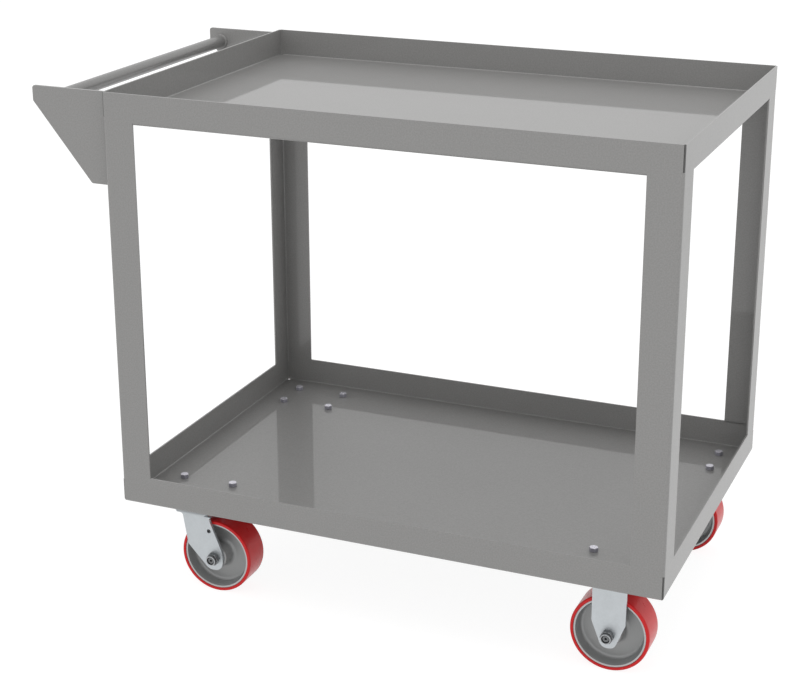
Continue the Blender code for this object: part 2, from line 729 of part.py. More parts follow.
def make_kingpin(corner, x, y, ball_height):
    """The king pin, its nut and the lower race that the nut holds up, with the ring of balls in it."""
    head_top = PLATE_UNDERSIDE + PLATE_THICKNESS - GAP
    tail = KINGPIN_NUT_TOP - KINGPIN_NUT_HEIGHT - KINGPIN_TAIL
    pin = turned(
        "kingpin_" + corner,
        [
            (0, head_top),
            (KINGPIN_HEAD_RADIUS, head_top),
            (KINGPIN_RADIUS, head_top - KINGPIN_HEAD_DEPTH),
            (KINGPIN_RADIUS, tail + CHAMFER),
            (KINGPIN_RADIUS - CHAMFER, tail),
            (0, tail),
        ],
        KINGPIN_STEPS,
        DARK_STEEL,
    )
    place(pin, (x, y, 0))

    loops = [hexagon(KINGPIN_NUT_ACROSS), hole(KINGPIN_HOLE_RADIUS, KINGPIN_STEPS)]
    nut = flat("kingpin_nut_" + corner, loops, KINGPIN_NUT_HEIGHT, BRIGHT_ZINC)
    place(nut, (x, y, KINGPIN_NUT_TOP - KINGPIN_NUT_HEIGHT / 2))

    bore = circumscribed(KINGPIN_HOLE_RADIUS, RACE_STEPS)
    foot = LOWER_RACE_TOP - LOWER_RACE_THICKNESS
    race = turned(
        "lower_race_" + corner,
        [
            (LOWER_RACE_RADIUS, LOWER_RACE_TOP),
            (LOWER_RACE_RADIUS, foot + CHAMFER),
            (LOWER_RACE_RADIUS - CHAMFER, foot),
            (bore, foot),
            (bore, LOWER_RACE_TOP),
        ],
        RACE_STEPS,
        BRIGHT_ZINC,
    )
    place(race, (x, y, 0))
    ring = balls(
        "lower_race_%s_balls" % corner,
        LOWER_BALL_RADIUS,
        LOWER_BALL_PITCH_RADIUS,
        LOWER_BALL_COUNT,
        (x, y, ball_height),
    )
    combine(race, ring, "UNION")


def make_swivel_caster(corner):
    """A plate with the upper race, two rings of balls, a swept fork that turns on the king pin and a
    wheel that trails it."""
    x, y = CASTER_PLACES[corner]
    swivel = axis_point("swivel_axis_" + corner, (x, y, 0))
    ball_height = CROWN_HEIGHT + BALL_LIFT / 2
    lower_ball_height = CROWN_UNDERSIDE - LOWER_BALL_LIFT / 2

    make_swivel_plate(corner, x, y, ball_height)
    make_kingpin(corner, x, y, lower_ball_height)

    name = "swivel_fork_" + corner
    loops = [
        swivel_side_outline(),
        hole(AXLE_HOLE_RADIUS, AXLE_STEPS, (LEAD, WHEEL_RADIUS)),
        circle(LOCK_HOLE_RADIUS, LOCK_HOLE_STEPS, (LEAD - LOCK_HOLE_BEHIND, WHEEL_RADIUS + LOCK_HOLE_RISE)),
    ]
    length = 2 * (LEAD + LEG_TIP_AHEAD + CROWN_RADIUS)
    fork = make_fork(name, length, CROWN_HEIGHT, loops, swivel, (0, 0, 0))
    combine(fork, crown_trim(name + "_trim", swivel), "DIFFERENCE")
    bore = flat(name + "_bore", [hole(KINGPIN_HOLE_RADIUS, KINGPIN_STEPS)], OVERRUN, group=CUTTERS)
    place(bore, (0, 0, CROWN_HEIGHT - FORK_SHEET / 2), swivel)
    combine(fork, bore, "DIFFERENCE")
    for ball, pitch, height, label in (
        (BALL_RADIUS, BALL_PITCH_RADIUS, ball_height, "_upper_groove"),
        (LOWER_BALL_RADIUS, LOWER_BALL_PITCH_RADIUS, lower_ball_height, "_lower_groove"),
    ):
        combine(fork, groove(name + label, ball, pitch, height, swivel, (0, 0)), "DIFFERENCE")

    make_wheel(corner, (LEAD, 0, WHEEL_RADIUS), swivel)


def make_wheel(corner, spot, parent):
    """A wheel on its axle. The fork carries the bolt, nut and roller sleeve, and the rest spins."""
    fixed = axis_point("axle_" + corner, spot, parent)
    axle = axis_point("wheel_axis_" + corner, (0, 0, 0), fixed)
    outward = ON_EDGE if corner.startswith("front") else -ON_EDGE
    make_axle(corner, fixed, outward)
    make_sleeve(corner, fixed)
    make_hub(corner, axle)
    make_tread(corner, axle)


def make_axle(corner, fixed, outward):
    """The axle bolt and its nut, which is on the cart's outer side."""
    side = FORK_OUTSIDE / 2 + GAP
    collar_end = side + AXLE_NUT_HEIGHT + AXLE_COLLAR_HEIGHT
    end = collar_end + AXLE_TAIL
    name = "axle_bolt_" + corner
    bolt = turned(
        name,
        [
            (0, end - AXLE_PIT_DEPTH),
            (AXLE_PIT_RADIUS, end - AXLE_PIT_DEPTH),
            (AXLE_PIT_RADIUS, end),
            (AXLE_RADIUS - CHAMFER, end),
            (AXLE_RADIUS, end - CHAMFER),
            (AXLE_RADIUS, -side - JOIN_OVERLAP),
            (0, -side - JOIN_OVERLAP),
        ],
        AXLE_STEPS,
        BRIGHT_ZINC,
    )
    head = flat(name + "_head", [hexagon(AXLE_HEAD_ACROSS)], AXLE_HEAD_HEIGHT, group=CUTTERS)
    place(bolt, (0, 0, 0), fixed, (outward, 0, 0))
    place(head, (0, 0, -side - AXLE_HEAD_HEIGHT / 2), bolt)
    combine(bolt, head, "UNION")

    name = "axle_nut_" + corner
    nut = flat(name, [hexagon(AXLE_HEAD_ACROSS)], AXLE_NUT_HEIGHT, DARK_STEEL)
    nut.data.transform(Matrix.Translation((0, 0, side + AXLE_NUT_HEIGHT / 2)))
    collar = flat(
        name + "_collar",
        [circle(AXLE_COLLAR_RADIUS, AXLE_STEPS)],
        AXLE_COLLAR_HEIGHT + JOIN_OVERLAP,
        group=CUTTERS,
    )
    bore = flat(name + "_bore", [hole(AXLE_HOLE_RADIUS, AXLE_STEPS)], 2 * (end + OVERRUN), group=CUTTERS)
    place(nut, (0, 0, 0), fixed, (outward, 0, 0))
    place(collar, (0, 0, collar_end - (AXLE_COLLAR_HEIGHT + JOIN_OVERLAP) / 2), nut)
    place(bore, (0, 0, 0), nut)
    combine(nut, collar, "UNION")
    combine(nut, bore, "DIFFERENCE")


def make_sleeve(corner, fixed):
    """The sleeve that the fork clamps on the axle, with the needle rollers that the hub turns on."""
    name = "roller_sleeve_" + corner
    half = FORK_INSIDE / 2 - GAP
    bore = circumscribed(AXLE_HOLE_RADIUS, SLEEVE_STEPS)
    profile = [(SLEEVE_RADIUS, half), (SLEEVE_RADIUS, -half), (bore, -half), (bore, half)]
    sleeve = turned(name, profile, SLEEVE_STEPS, BALL_STEEL)
    bm = bmesh.new()
    for x, y in circle(SLEEVE_RADIUS + ROLLER_RADIUS - ROLLER_SEAT, ROLLER_COUNT):
        bmesh.ops.create_cone(
            bm,
            cap_ends=True,
            segments=ROLLER_STEPS,
            radius1=ROLLER_RADIUS,
            radius2=ROLLER_RADIUS,
            depth=HUB_LENGTH,
            matrix=Matrix.Translation((x, y, 0)),
        )
    rollers = new_object(name + "_rollers", mesh_of(name + "_rollers", bm), None, CUTTERS)
    place(sleeve, (0, 0, 0), fixed, (ON_EDGE, 0, 0))
    place(rollers, (0, 0, 0), sleeve)
    combine(sleeve, rollers, "UNION")


def make_hub(corner, axle):
    """The cast wheel centre: hub, dished web and a rim with a bead at each side."""
    rim = WHEEL_RADIUS - TREAD_THICKNESS - GAP
    rim_side = RIM_WIDTH / 2
    web = WEB_THICKNESS / 2
    bead = rim - RIM_BEAD
    rim_foot = bead - RIM_SLOPE
    end = HUB_LENGTH / 2
    bore = circumscribed(SLEEVE_RADIUS + 2 * ROLLER_RADIUS - ROLLER_SEAT + GAP, HUB_STEPS)
    one_side = [
        (rim, rim_side),
        (bead, rim_side),
        (rim_foot, web + RIM_FILLET),
        (rim_foot - RIM_FILLET, web),
        (HUB_FOOT_RADIUS, web),
        (HUB_RADIUS, end),
        (bore, end),
    ]
    profile = [(radius, -height) for radius, height in one_side] + one_side[::-1]
    hub = turned("wheel_hub_" + corner, profile, HUB_STEPS, CAST_IRON)
    place(hub, (0, 0, 0), axle, (ON_EDGE, 0, 0))


def make_tread(corner, axle):
    """The moulded red tyre. The flats of its outline, one of them underneath, lie at the wheel's radius."""
    outer = circumscribed(WHEEL_RADIUS, TREAD_STEPS)
    inner = circumscribed(WHEEL_RADIUS - TREAD_THICKNESS, TREAD_STEPS)
    side = WHEEL_WIDTH / 2
    tread = turned(
        "wheel_tread_" + corner,
        [
            (outer, side - TREAD_EDGE),
            (outer, TREAD_EDGE - side),
            (outer - TREAD_EDGE / 2, -side),
            (inner, -side),
            (inner, side),
            (outer - TREAD_EDGE / 2, side),
        ],
        TREAD_STEPS,
        RED_TREAD,
    )
    place(tread, (0, 0, 0), axle, (ON_EDGE, 0, 0))


def smooth_round_faces():
    """Soft shading on every piece, with edges of folds and corners left sharp."""
    for piece in CART.objects:
        if piece.type != "MESH":
            continue
        piece.data.shade_smooth()
        piece.data.set_sharp_from_angle(angle=math.radians(35))


make_tray("top_tray", TOP_TRAY_HEIGHT, TOP_TRAY_HEIGHT, bolt_holes=False)
make_tray("bottom_tray", CASTER_HEIGHT, CASTER_HEIGHT + LIP_HEIGHT, bolt_holes=True)
make_posts()
make_handle()
make_caster_bolts()
make_rigid_caster("front_right")
make_rigid_caster("back_right")
make_swivel_caster("front_left")
make_swivel_caster("back_left")
smooth_round_faces()
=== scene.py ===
"""Two-shelf steel utility cart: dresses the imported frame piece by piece, in a plain studio.

Every piece rides on the body of the frame that it belongs to and takes the place of the plain
nodes there. Lengths are in metres, +Z is up, X runs along the deck away from the handle, and the
ground is at 0.
"""

import json
import math

import bmesh
import bpy
from mathutils import Matrix, Vector

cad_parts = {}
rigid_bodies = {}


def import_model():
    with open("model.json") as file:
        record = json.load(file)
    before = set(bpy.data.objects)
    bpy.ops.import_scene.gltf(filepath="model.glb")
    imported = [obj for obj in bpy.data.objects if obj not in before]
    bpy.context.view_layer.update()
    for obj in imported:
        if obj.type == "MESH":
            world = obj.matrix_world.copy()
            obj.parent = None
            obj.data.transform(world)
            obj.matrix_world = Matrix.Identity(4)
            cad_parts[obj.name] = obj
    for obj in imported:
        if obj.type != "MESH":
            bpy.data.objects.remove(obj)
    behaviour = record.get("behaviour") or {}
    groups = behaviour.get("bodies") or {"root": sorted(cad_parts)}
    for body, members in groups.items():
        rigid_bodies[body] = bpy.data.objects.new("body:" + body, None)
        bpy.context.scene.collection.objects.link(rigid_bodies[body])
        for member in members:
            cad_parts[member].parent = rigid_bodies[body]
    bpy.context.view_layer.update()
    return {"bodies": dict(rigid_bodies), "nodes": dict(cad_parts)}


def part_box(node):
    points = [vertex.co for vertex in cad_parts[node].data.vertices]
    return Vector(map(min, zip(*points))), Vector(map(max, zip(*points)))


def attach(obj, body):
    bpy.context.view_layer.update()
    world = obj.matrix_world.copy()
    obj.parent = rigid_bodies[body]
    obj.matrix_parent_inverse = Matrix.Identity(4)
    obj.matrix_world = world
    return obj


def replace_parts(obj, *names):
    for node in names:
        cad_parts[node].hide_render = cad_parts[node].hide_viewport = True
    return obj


bl_info = {
    "name": "Utility Cart",
    "version": (1, 0, 0),
    "blender": (4, 5, 0),
    "location": "View3D > Sidebar > Cart",
    "description": "Builds the visible pieces of a two-shelf steel cart on its packed frame",
    "category": "Object",
}

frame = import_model()

CORNERS = ("front_left", "back_left", "front_right", "back_right")
SWIVEL_CORNERS = CORNERS[:2]
RIGID_CORNERS = CORNERS[2:]
CAMERA_PLACE = (1.07403, -2.58911, 1.40268)
CAMERA_AIM = (-0.36454, 0.87593, -0.31601)
FOCAL_LENGTH = 78.69  # millimetres, on a sensor 36 wide
LAMP_AIM = (0, 0, 0.45)
FRAME_BODY = next(body for body in frame["bodies"] if body.startswith(("frame", "root")))
ON_EDGE = math.radians(90)  # turns a flat or turned piece from Z to Y
SHARP_ANGLE = math.radians(35)
ARC_STEP = math.radians(9)
ROUND_STEPS = 96
SMALL_ROUND_STEPS = 40
TINY = 0.00005
WELD = 0.000002  # points nearer than this are one point
THROUGH = 1.0  # a cut that goes through everything
UP = 0.9  # the least upward part of the normal of a face that points up
SEAM_SHARE = 0.97  # how much of the sheet an open seam cuts away
BALL_SHARE = 0.81  # how much of a load ball's diameter shows under its race
LOWER_BALL_SHARE = 0.62
CHAMFER_FACE = 0.97  # a hexagon's round end face, as a share of its width across flats
CHAMFER_SLOPE = 0.6  # how far its chamfer falls over its width
THREAD_DEPTH = 0.35  # as a share of the pitch
BOLT_PITCH = 0.0016  # from one turn of a bolt's thread to the next
KING_PIN_PITCH = 0.0015
EDGE_WEAR_AND_HIGHLIGHT = "worn_edge_and_painted_highlight"  # marks faces painted lighter: worn edges, and the painted highlight on bolt head tops and nut collar lips
SEAM_SHADE = "open_seam_painted_shade"  # marks the faces inside the trays' open seams, which the paint darkens as painted shade


def extent(node):
    """The size of a node's box along X, Y and Z."""
    low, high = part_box(node)
    return high - low


def middle(node):
    """The middle of a node's box."""
    low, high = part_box(node)
    return (low + high) / 2


def length(name, description, default):
    """A size that the user may change."""
    return bpy.props.FloatProperty(
        name=name, description=description, default=default, min=0, precision=5, unit="LENGTH"
    )


def colour(name, description, default):
    """A colour that the user may change."""
    return bpy.props.FloatVectorProperty(
        name=name, description=description, default=default, subtype="COLOR", size=3, min=0, max=1
    )


class CartSizes(bpy.types.PropertyGroup):
    """Sizes of the visible pieces. Overall sizes and places come from the frame."""

    sheet: length("Tray sheet", "Thickness of the trays' and posts' sheet", 0.00266)
    fold: length("Fold", "Outer radius of the folds in trays and posts", 0.005)
    edge: length("Edge rounding", "Rounding of cut sheet edges", 0.0004)
    gap: length("Gap", "Gap between pieces that rest on each other", 0.0003)
    relief: length("Relief hole", "Radius of the hole where two folds would meet", 0.0032)
    relief_top: length("Relief height", "How far the relief hole reaches up a corner", 0.0085)
    post_seat: length("Post seat", "How far a post's end reaches along a tray's lip", 0.0096)
    nose: length("Handle nose", "Height of a handle plate's outer edge", 0.0245)
    foot: length("Handle foot", "Length of a handle plate's bottom edge", 0.0345)
    handle_corner: length("Handle corner", "Rounding of the handle plates' corners", 0.0045)
    tube: length("Grip radius", "Outer radius of the grip tube", 0.0111)
    bead: length("Weld bead", "Leg of the weld bead at each end of the grip tube", 0.0034)
    bolt_across: length("Bolt head", "Caster bolt heads, across flats", 0.0127)
    bolt_head: length("Bolt head height", "Height of a caster bolt's head", 0.0066)
    bolt_radius: length("Bolt radius", "Radius of a caster bolt's shank", 0.00397)
    bolt_nut: length("Nut height", "Height of a caster bolt's nut", 0.0084)
    caster_plate: length("Caster plate", "Thickness of a caster's top plate", 0.00635)
    plate_corner: length("Caster plate corner", "Corner radius of a caster's top plate", 0.008)
    fork_sheet: length("Fork sheet", "Thickness of the forks", 0.00476)
    fork_bend: length("Fork bend", "Outer radius of the forks' bends", 0.009)
    tread: length("Tread", "Thickness of the tread", 0.0052)
    tread_edge: length("Tread edge", "Rounding of the tread's edges", 0.003)
    rim_bead: length("Rim bead", "Width of the bright bead at the rim's side", 0.0031)
    web: length("Web", "Thickness of the wheel's web", 0.009)
    hub: length("Hub radius", "Outer radius of the hub's end", 0.0195)
    axle: length("Axle radius", "Radius of the axle bolt", 0.00635)
    axle_across: length("Axle nut", "Axle bolt heads and nuts, across flats", 0.01905)
    axle_head: length("Axle head", "Height of an axle bolt's head", 0.0078)
    axle_recess: length("Axle recess", "How far an axle bolt ends inside its collar", 0.0020)
    axle_chamfer: length("Axle chamfer", "Chamfer of an axle bolt's end", 0.0012)
    centre_hole: length("Centre hole", "Radius of the hole in an axle bolt's end", 0.0019)
    centre_depth: length("Centre depth", "Depth of the hole in an axle bolt's end", 0.005)
    collar: length("Collar", "Outer radius of an axle nut's collar", 0.0084)
    collar_height: length("Collar height", "Height of collar on the frame's axle nuts", 0.0036)
    rim_width: length("Rim width", "Width of a wheel's cast rim", 0.0484)
    rim_slope: length("Rim slope", "How far the rim's inner side leans in", 0.0032)
    sleeve: length("Sleeve", "Outer radius of a roller sleeve", 0.0138)
    web_fillet: length("Web fillet", "Fillet between rim and web", 0.0055)
    hub_fillet: length("Hub fillet", "Fillet between web and hub", 0.007)
    hub_edge: length("Hub edge", "Rounding of the hub's end", 0.0028)
    hub_taper: length("Hub taper", "How much wider the hub is at the web", 0.002)
    ball: length("Ball", "Radius of a load ball", 0.00397)
    ball_pitch: length("Ball pitch", "Radius of the ring of load balls", 0.030)
    skirt: length("Dust skirt", "Outer radius of the upper race's skirt", 0.039)
    skirt_wall: length("Skirt wall", "Thickness of the upper race's skirt", 0.002)
    skirt_lap: length("Skirt lap", "How far the skirt hangs below its race", 0.003)
    race_bore: length("Race bore", "Radius of the upper race's bore", 0.022)
    lower_ball: length("Lower ball", "Radius of a lower ball", 0.00238)
    lower_pitch: length("Lower ball pitch", "Radius of the ring of lower balls", 0.016)
    king_pin: length("King pin", "Radius of a king pin", 0.00794)
    pin_head: length("King pin head", "Radius of a king pin's head", 0.0115)
    pin_cone: length("King pin cone", "Height of a king pin's sloped head", 0.0036)
    pin_plain: length("King pin shank", "Plain length of a king pin under its top", 0.020)
    fork_inside: length("Fork inside", "Clear width between a fork's legs", 0.0556)
    crown_lap: length("Crown lap", "How far the swivel fork's legs widen under the crown", 0.002)
    leg_back: length("Leg back", "King pin back to the leg's edge under the crown", 0.0145)
    leg_front: length("Leg front", "King pin ahead to the leg's edge under the crown", 0.0329)
    waist: length("Leg waist", "King pin back to the leg's knee", 0.0055)
    waist_up: length("Waist height", "Axle up to the leg's knee", 0.0184)
    tip_back: length("Leg tip back", "Axle back to the leg's lower corner", 0.0102)
    tip_front: length("Leg tip front", "Axle ahead to the leg's front edge", 0.0157)
    tip_up: length("Leg front height", "Axle up to where the front edge bends", 0.011)
    tip_round: length("Leg tip", "Rounding of the swivel fork's tip", 0.015)
    front_round: length("Leg front bend", "Rounding of the leg's front edge", 0.045)
    knee_round: length("Knee", "Rounding of the legs' knees", 0.008)
    lock_hole: length("Lock hole", "Radius of the hole in a swivel fork's leg", 0.0036)
    lock_back: length("Lock hole back", "Axle back to the lock hole", 0.0085)
    lock_up: length("Lock hole height", "Axle up to the lock hole", 0.0473)
    taper: length("Taper", "Axle up to where the rigid fork narrows", 0.0215)
    rigid_tip: length("Rigid tip", "Half width of the rigid fork's tip before rounding", 0.010)
    rigid_round: length("Rigid tip rounding", "Rounding of the rigid fork's tip", 0.013)


class CartColours(bpy.types.PropertyGroup):
    """Colours of the cart's finishes."""

    paint: colour("Paint", "Grey enamel on trays, posts and handle", (0.232, 0.229, 0.224))
    zinc: colour("Zinc", "Plating on forks, plates and axle bolts", (0.55, 0.58, 0.60))
    bolt_zinc: colour("Bolt zinc", "Plating on the caster bolts", (0.36, 0.355, 0.41))
    axle_zinc: colour("Axle zinc", "Plating on the axle bolts and nuts", (0.17, 0.175, 0.18))
    steel: colour("Steel", "Dark nuts and king pins", (0.16, 0.16, 0.165))
    bearing: colour("Bearing steel", "Balls, rollers and sleeves", (0.55, 0.55, 0.55))
    iron: colour("Casting", "The wheels' cast centres", (0.335, 0.34, 0.34))
    tread: colour("Tread", "The wheels' moulded tread", (0.67, 0.011, 0.013))


def sizes():
    """The sizes now set."""
    return bpy.context.scene.cart_sizes


def colours():
    """The colours now set."""
    return bpy.context.scene.cart_colours


# Materials


class Wire:
    """An output socket of a node in a finish. Sums on it add Math nodes, so 1 - mask works."""

    def __init__(self, finish, socket):
        self.finish = finish
        self.socket = socket

    def maths(self, operation, first, second=0.0):
        """A Math node of that operation."""
        values = {0: first, 1: second}
        return self.finish.node("ShaderNodeMath", {"operation": operation}, values)

    def __add__(self, other):
        return self.maths("ADD", self, other)

    def __radd__(self, other):
        return self.maths("ADD", other, self)

    def __sub__(self, other):
        return self.maths("SUBTRACT", self, other)

    def __rsub__(self, other):
        return self.maths("SUBTRACT", other, self)

    def __mul__(self, other):
        return self.maths("MULTIPLY", self, other)

    def __rmul__(self, other):
        return self.maths("MULTIPLY", other, self)

    def __pow__(self, other):
        return self.maths("POWER", self, other)

    def __rpow__(self, other):
        return self.maths("POWER", other, self)

    def __abs__(self):
        return self.maths("ABSOLUTE", self)

    def sine(self):
        """The sine of this value."""
        return self.maths("SINE", self)

    def between(self, low, high):
        """0 where this value is at or below low, 1 from high up, and smooth between."""
        values = {"Value": self, "From Min": low, "From Max": high}
        return self.finish.node("ShaderNodeMapRange", {"interpolation_type": "SMOOTHSTEP"}, values)


class Finish:
    """The nodes of a material, or of the world."""

    def __init__(self, owner):
        owner.use_nodes = True
        self.tree = owner.node_tree
        self.tree.nodes.clear()

    def node(self, kind, settings=None, values=None, output=0):
        """A node of that kind: its settings are made first, and then its sockets linked or set."""
        made = self.tree.nodes.new(kind)
        for name, setting in (settings or {}).items():
            setattr(made, name, setting)
        for name, value in (values or {}).items():
            if isinstance(value, Wire):
                self.tree.links.new(value.socket, made.inputs[name])
            else:
                made.inputs[name].default_value = value
        return Wire(self, made.outputs[output])

    def place(self):
        """The point on the piece, from its own origin."""
        return self.node("ShaderNodeTexCoord", output="Object")

    def noise(self, place, scale, detail=2.0, roughness=0.5):
        """Noise with about `scale` grains in a metre."""
        values = {"Vector": place, "Scale": scale, "Detail": detail, "Roughness": roughness}
        return self.node("ShaderNodeTexNoise", values=values)

    def stretched(self, place, factors):
        """The place with each of its axes stretched."""
        return self.node("ShaderNodeVectorMath", {"operation": "MULTIPLY"}, {0: place, 1: factors})

    def blend(self, share, low, high):
        """One colour where the share is 0 and the other where it is 1."""
        values = {0: share, 6: low, 7: high}
        return self.node("ShaderNodeMix", {"data_type": "RGBA"}, values, output=2)

    def marked(self, mark):
        """1 on the faces that carry the mark and 0 elsewhere."""
        return self.node("ShaderNodeAttribute", {"attribute_name": mark}, output="Fac")

    def bump(self, height, depth, strength=1.0):
        """A normal for a surface whose height of 1 stands that deep, in metres."""
        values = {"Height": height, "Distance": depth, "Strength": strength}
        return self.node("ShaderNodeBump", values=values, output="Normal")

    def close(self, values):
        """End in a Principled shader of these values."""
        self.show(self.node("ShaderNodeBsdfPrincipled", values=values))

    def show(self, shader, output="ShaderNodeOutputMaterial"):
        """Send a shader to the output."""
        out = self.tree.nodes.new(output)
        self.tree.links.new(shader.socket, out.inputs["Surface"])


def shade(tint, factor):
    """A colour times a factor, as four numbers."""
    return (*[min(1.0, part * factor) for part in tint], 1.0)


def paint_finish(finish, tint):
    """Semi-gloss enamel: pebbled grain, faint clouds, worn edges painted lighter that also stand
    in for highlight lines, and painted shade in the seams.
    """
    place = finish.place()
    grain = finish.noise(place, 420, 3.0, 0.7)
    clouds = finish.noise(place, 7, 3.0)
    flow = finish.noise(finish.stretched(place, (1.0, 1.0, 0.25)), 45, 2.0)
    tone = 0.70 * grain.between(0.32, 0.68) + 0.20 * clouds + 0.10 * flow
    base = finish.blend(tone, shade(tint, 0.87), shade(tint, 1.13))
    seam = finish.marked(SEAM_SHADE)
    # worn edges painted lighter, which also stand in for highlight lines on bends and rims
    wear_and_highlight = finish.marked(EDGE_WEAR_AND_HIGHLIGHT) * finish.noise(place, 60).between(0.35, 0.65) * (1 - seam)
    base = finish.blend(wear_and_highlight * 0.5, base, shade(tint, 1.5))
    # painted shade: the faces inside the open seams are painted dark
    base = finish.blend(seam, base, shade(tint, 0.42))
    finish.close(
        {
            "Base Color": base,
            "Roughness": 0.42 + 0.12 * grain + 0.10 * clouds - 0.08 * wear_and_highlight,
            "Specular IOR Level": 0.90,
            "Coat Weight": 0.56 - 0.10 * wear_and_highlight - 0.40 * seam,
            "Coat Roughness": 0.04,
            "Coat IOR": 1.5,
            "Normal": finish.bump(grain, 0.00006, 0.35),
        }
    )


def zinc_finish(finish, tint, roughness=0.36, wear_and_highlight_shade=1.35, metallic=0.85):
    """Dull bright plating: small spangles, faint stains, worn edges painted lighter, and a painted
    highlight on the marked bolt head tops and nut collar lips.
    """
    place = finish.place()
    spangle = finish.node("ShaderNodeTexVoronoi", values={"Vector": place, "Scale": 260.0})
    grain = finish.noise(place, 900, 2.0)
    stain = finish.noise(place, 55, 4.0, 0.6)
    tone = 0.35 * spangle + 0.25 * grain + 0.40 * stain.between(0.3, 0.7)
    base = finish.blend(tone, shade(tint, 0.90), shade(tint, 1.08))
    wear_and_highlight = finish.marked(EDGE_WEAR_AND_HIGHLIGHT)
    # marked faces are painted lighter: worn edges, and a painted highlight on bolt head tops and
    # nut collar lips
    base = finish.blend(wear_and_highlight * 0.6, base, shade(tint, wear_and_highlight_shade))
    finish.close(
        {
            "Base Color": base,
            "Metallic": metallic,
            "Roughness": roughness + 0.14 * stain + 0.06 * spangle - 0.12 * wear_and_highlight,
            "Normal": finish.bump(0.6 * grain + 0.4 * spangle, 0.00004, 0.4),
        }
    )


def steel_finish(finish, tint, roughness=0.3):
    """Bare or blackened steel with fine scratches and smudges."""
    place = finish.place()
    scratches = finish.noise(finish.stretched(place, (1.0, 1.0, 0.06)), 2600, 2.0)
    smudge = finish.noise(place, 120, 3.0)
    base = finish.blend(0.5 * scratches + 0.5 * smudge, shade(tint, 0.8), shade(tint, 1.25))
    wear_and_highlight = finish.marked(EDGE_WEAR_AND_HIGHLIGHT)
    base = finish.blend(wear_and_highlight * 0.7, base, shade(tint, 1.9))
    finish.close(
        {
            "Base Color": base,
            "Metallic": 0.9,
            "Roughness": roughness + 0.12 * smudge - 0.06 * wear_and_highlight,
            "Normal": finish.bump(scratches, 0.00002, 0.5),
        }
    )


def from_axle(finish):
    """How far a point on a wheel is from the axle, and how far along it from the middle."""
    parts = {"Vector": finish.place()}
    along = [finish.node("ShaderNodeSeparateXYZ", values=parts, output=axis) for axis in range(3)]
    return (along[0] ** 2 + along[2] ** 2) ** 0.5, abs(along[1])


def casting_finish(finish, rim_side):
    """The wheel's cast centre: sandy iron, turned rings on the web, and bright machined sides."""
    place = finish.place()
    radius, side = from_axle(finish)
    sand = finish.noise(place, 700, 3.0, 0.6)
    patches = finish.noise(place, 40, 3.0)
    rings = 0.5 + 0.5 * (radius * 2200.0).sine()
    machined = side.between(rim_side - 0.0010, rim_side - 0.0006) * radius.between(0.045, 0.046)
    tint = colours().iron
    tone = 0.5 * sand + 0.3 * patches + 0.2 * rings
    base = finish.blend(tone, shade(tint, 0.85), shade(tint, 1.18))
    base = finish.blend(machined, base, shade(tint, 1.45))
    finish.close(
        {
            "Base Color": base,
            "Metallic": 0.35 + 0.3 * machined,
            "Roughness": 0.36 + 0.12 * patches + 0.06 * rings - 0.08 * machined,
            "Normal": finish.bump(0.35 * sand + 0.65 * rings, 0.00012, 0.35),
        }
    )


def tread_finish(finish, outer):
    """Moulded red polyurethane: glossy, a little cloudy, scuffed where it rolls."""
    place = finish.place()
    radius, _ = from_axle(finish)
    clouds = finish.noise(place, 35, 3.0)
    grain = finish.noise(place, 800, 2.0)
    scuffs = finish.noise(place, 160, 4.0, 0.7).between(0.45, 0.75)
    worn = radius.between(outer - 0.0003, outer + 0.0001) * scuffs
    tint = colours().tread
    base = finish.blend(0.7 * clouds + 0.3 * grain, shade(tint, 0.90), shade(tint, 1.12))
    base = finish.blend(worn * 0.25, base, shade(tint, 0.7))
    finish.close(
        {
            "Base Color": base,
            "Roughness": 0.24 + 0.10 * clouds + 0.12 * worn,
            "Specular IOR Level": 0.25,
            "Coat Weight": 0.14 - 0.10 * worn,
            "Coat Roughness": 0.06,
            "Normal": finish.bump(grain, 0.00004, 0.4),
        }
    )


def finish_named(name, make, *values):
    """The material of that name, made the first time it is asked for."""
    material = bpy.data.materials.get(name)
    if material is None:
        material = bpy.data.materials.new(name)
        make(Finish(material), *values)
    return material


def grey_paint():
    """Paint for trays, posts and handle plates."""
    return finish_named("grey_enamel", paint_finish, colours().paint)


def bright_zinc():
    """Plating for forks and plates."""
    return finish_named("dull_zinc_plate", zinc_finish, colours().zinc)


def axle_zinc():
    """Darker plating for the axle bolts and nuts."""
    # its 3.4 paints the marked collar lips lighter as a painted highlight
    return finish_named("dark_zinc_plate", zinc_finish, colours().axle_zinc, 0.30, 3.4)


# Outlines


def circle(radius, steps=SMALL_ROUND_STEPS, centre=(0, 0)):
    """The points of a round outline."""
    turn = math.tau / steps
    return [
        (centre[0] + radius * math.cos(turn * step), centre[1] + radius * math.sin(turn * step))
        for step in range(steps)
    ]


def hexagon(across):
    """The points of a hexagon of the given size across its flats."""
    return circle(across / 2 / math.cos(math.pi / 6), 6)


def rounded(corners, closed=True):
    """The points of a path whose corners (x, y, radius) are rounded."""
    points = []
    last = len(corners) - 1
    for index, (x, y, radius) in enumerate(corners):
        corner = Vector((x, y))
        if not radius or (not closed and index in (0, last)):
            points.append(corner)
            continue
        back = (Vector(corners[index - 1][:2]) - corner).normalized()
        ahead = (Vector(corners[(index + 1) % len(corners)][:2]) - corner).normalized()
        turn = math.pi - back.angle(ahead)
        centre = corner + (back + ahead).normalized() * radius / math.cos(turn / 2)
        arm = corner + back * radius * math.tan(turn / 2) - centre
        far_arm = corner + ahead * radius * math.tan(turn / 2) - centre
        steps = max(2, math.ceil(turn / ARC_STEP))
        for step in range(steps + 1):
            points.append(centre + arm.slerp(far_arm, step / steps) * radius)
    return points


# Solids


def new_piece(name, bm):
    """An object made of the finished bmesh."""
    bmesh.ops.recalc_face_normals(bm, faces=bm.faces)
    mesh = bpy.data.meshes.new(name)
    bm.to_mesh(mesh)
    bm.free()
    piece = bpy.data.objects.new(name, mesh)
    bpy.context.scene.collection.objects.link(piece)
    return piece


